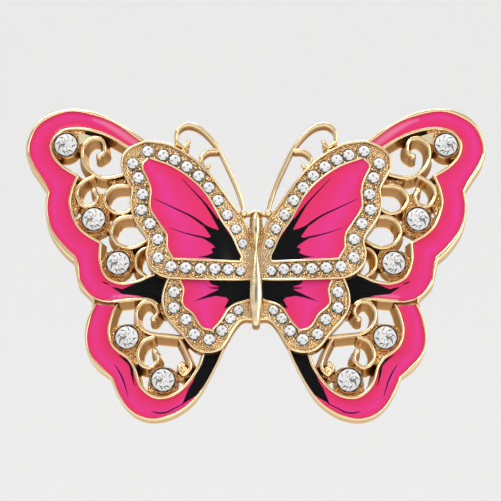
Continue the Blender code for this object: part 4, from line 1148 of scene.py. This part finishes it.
def all_stones(facets):
    """Ten large brilliants in collars, and the rows of small stones."""
    large = cut_stone(LARGE_SIDES, LARGE_RINGS, LARGE_REFLECTIONS, LARGE_DEPTH)
    small = cut_stone(SMALL_SIDES, SMALL_RINGS, SMALL_REFLECTIONS, SMALL_DEPTH)
    for name, place in CRYSTALS.items():
        stones(f"crystal_{name}", plane([place]), [CRYSTAL_RADIUS], CRYSTAL_GIRDLE, large, on_wing, facets)
    for row, places in PAVE_ROWS.items():
        rim, bed = row_levels(row)
        centres = plane(places, rim)
        shown = np.interp(np.abs(centres[:, 0]), (PAVE_STEEP, PAVE_LEVEL), (PAVE_NARROW, 1.0))
        stones(f"pave_{row}", centres, PAVE_RADIUS * shown, bed + PAVE_GIRDLE, small, on_upper, facets)


def pave_beads(gold):
    """Two little beads in each gap of a row of small stones, one on either side of its line."""
    beads = []
    for row, places in PAVE_ROWS.items():
        rim, bed = row_levels(row)
        places = np.asarray(places, float)
        middle, along = (places[1:] + places[:-1]) / 2, np.diff(places, axis=0)
        side = along[:, ::-1] * (1, -1) / np.linalg.norm(along, axis=1)[:, None]
        spots = np.vstack([middle + side * BEAD_ASIDE, middle - side * BEAD_ASIDE])
        beads += [ball(spot, bed + BEAD_RISE, BEAD_RADIUS, BEAD_SIDES, BEAD_ROWS)
                  for spot in plane(spots, rim)]
    upper_piece("pave_beads", beads, gold)


def back_plate(plain):
    """The smooth plate behind the middle, between its left edge and that edge mirrored."""
    left = line(BACK_PLATE, RIM_STEP)
    right = left * (-1, 1) + (2 * PHOTO_CENTRE[0], 0)
    shape = outward(placed(band(left, right, slab(0.0, BACK_PLATE_TOP, 2)), on_body))
    piece("back_plate", [shape], [plain], "gold_plate", ["lower_wing_casting"])


def pin_fittings(wire):
    """The pin's wire turned about X, and its eye and rivet turned about Z."""
    points, faces = turned(WIRE_SECTION, (0, 0), WIRE_SIDES)
    stem = points[:, [2, 0, 1]] + (0, *HINGE[1:]), faces
    points, faces = turned(EYE_SECTION, (0, 0), EYE_SIDES, closed=True)
    eye = points + HINGE, faces
    piece("pin_stem_fine", [outward(stem), outward(eye)], [wire], "pin_wire", ["pin_stem"], "pin",
          shade=0.0)
    points, faces = turned(RIVET_SECTION, (0, 0), RIVET_SIDES)
    rivet = outward((points + HINGE, faces))
    piece("hinge_rivet_fine", [rivet], [wire], "pin_wire", ["hinge_rivet"], shade=0.0)


def back_fittings(gold):
    """The CAD pieces of the pin's joint and its catch, in the plated finish."""
    for name in ("pin_joint", "catch_housing", "catch_rotor"):
        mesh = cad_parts[name].data
        mesh.materials.clear()
        mesh.materials.append(gold)
        mesh.shade_smooth()
        mesh.set_sharp_from_angle(angle=math.radians(SHARP_ANGLE))


def add_camera():
    """The photograph's view: below the middle, looking up by VIEW_TILT, framed by shift."""
    target = np.array([0.0, -RIM_TOP, 0.0])
    away = np.array([0.0, -math.cos(VIEW_TILT), -math.sin(VIEW_TILT)])
    data = bpy.data.cameras.new("camera")
    camera = bpy.data.objects.new("camera", data)
    camera.location = (target + VIEW_DISTANCE * away) * MM
    camera.rotation_euler = (math.pi / 2 + VIEW_TILT, 0.0, 0.0)
    data.sensor_width = CAMERA_SENSOR
    data.lens = data.sensor_width * VIEW_DISTANCE / (PHOTO_WIDTH * PIXEL)
    data.shift_x = (PHOTO_WIDTH / 2 - PHOTO_CENTRE[0]) / PHOTO_WIDTH
    data.shift_y = (PHOTO_CENTRE[1] - PHOTO_WIDTH / 2) / PHOTO_WIDTH
    data.clip_start = CAMERA_NEAR
    bpy.context.scene.collection.objects.link(camera)
    bpy.context.scene.camera = camera


def add_lamp(name, place, size, power):
    """A soft square lamp, in millimetres from the object's middle, turned towards it."""
    data = bpy.data.lights.new(name, "AREA")
    data.size = size * MM
    data.energy = power
    lamp = bpy.data.objects.new(name, data)
    lamp.location = np.array(place) * MM
    direction = -lamp.location
    lamp.rotation_euler = direction.to_track_quat("-Z", "Y").to_euler()
    bpy.context.scene.collection.objects.link(lamp)


def seen_directly(nodes, links):
    """The paper's glow for rays from the camera, a reflection or glass, and 0 for the light on things."""
    path = nodes.new("ShaderNodeLightPath")
    total = path.outputs["Is Camera Ray"]
    for name in ("Is Glossy Ray", "Is Transmission Ray"):
        add = nodes.new("ShaderNodeMath")
        add.operation = "MAXIMUM"
        links.new(total, add.inputs[0])
        links.new(path.outputs[name], add.inputs[1])
        total = add.outputs["Value"]
    scale = nodes.new("ShaderNodeMath")
    scale.operation = "MULTIPLY"
    scale.inputs[1].default_value = PAPER_STRENGTH
    links.new(total, scale.inputs[0])
    return scale.outputs["Value"]


def add_sweep():
    """A pale sheet of paper: flat floor, a quarter circle up at the back, and a straight wall."""
    turn = np.linspace(-math.pi / 2, 0, BEND_POINTS)
    bend_y = WALL_PLACE - PAPER_BEND + PAPER_BEND * np.cos(turn)
    bend_z = FLOOR_LEVEL + PAPER_BEND + PAPER_BEND * np.sin(turn)
    ends = [(-PAPER_REACH, FLOOR_LEVEL)], [(WALL_PLACE, PAPER_REACH)]
    profile = np.vstack([ends[0], np.column_stack([bend_y, bend_z]), ends[1]])
    x = np.repeat([-PAPER_REACH, PAPER_REACH], len(profile))
    points = np.column_stack([x, np.vstack([profile, profile])])
    row = np.arange(len(profile) - 1)
    faces = np.column_stack([row, row + len(profile), row + len(profile) + 1, row + 1]).tolist()
    mesh = bpy.data.meshes.new("studio_sweep")
    mesh.from_pydata((points * MM).tolist(), [], faces)
    mesh.shade_smooth()
    material, nodes, links, shader = new_material("pale paper")
    shader.inputs["Base Color"].default_value = (*PAPER_COLOUR, 1.0)
    shader.inputs["Roughness"].default_value = PAPER_ROUGHNESS
    shader.inputs["Emission Color"].default_value = (*PAPER_GLOW, 1.0)
    links.new(seen_directly(nodes, links), shader.inputs["Emission Strength"])
    mesh.materials.append(material)
    sweep = bpy.data.objects.new("studio_sweep", mesh)
    bpy.context.scene.collection.objects.link(sweep)


def add_sky():
    """A pale sky with one darker band, over a warm ground."""
    world = bpy.data.worlds.new("studio")
    bpy.context.scene.world = world
    world.use_nodes = True
    nodes, links = world.node_tree.nodes, world.node_tree.links
    place = nodes.new("ShaderNodeTexCoord")
    split = nodes.new("ShaderNodeSeparateXYZ")
    links.new(place.outputs["Generated"], split.inputs["Vector"])
    height = add_range(nodes, links, split.outputs["Z"], -1.0, 1.0, 0.0, 1.0)
    sky = add_ramp(nodes, links, height, SKY_LOW, SKY_HIGH, SKY_START, SKY_END)
    for stop, tone in SKY_BANDS:
        sky.node.color_ramp.elements.new(stop).color = (tone, tone, tone, 1.0)
    links.new(sky, nodes["Background"].inputs["Color"])
    nodes["Background"].inputs["Strength"].default_value = SKY_STRENGTH


def main():
    """The finishes, then every piece, then the camera and the studio."""
    group = surface_grain()
    golds = [gold_with_painted_shade(name, group, *finish) for name, finish in GOLD_FINISHES.items()]
    gold, wire, pale, plain = golds
    enamel = enamel_with_painted_highlight(group)
    facets = [painted_facet_reflection(name, group, *tones) for name, tones in FACET_REFLECTIONS.items()]
    lower_rims(gold)
    lower_scrolls(gold)
    stone_settings(gold, pale)
    lower_plates(gold)
    upper_metal(gold)
    antennae(gold)
    body_metal(pale)
    neck(gold)
    enamel_fills(enamel)
    all_stones(facets)
    pave_beads(gold)
    back_plate(plain)
    pin_fittings(wire)
    back_fittings(gold)
    add_camera()
    add_sweep()
    for name, (place, size, power) in LAMPS.items():
        add_lamp(name, place, size, power)
    add_sky()
    bpy.context.scene.view_settings.view_transform = "Standard"


main()
bpy.context.view_layer.update()
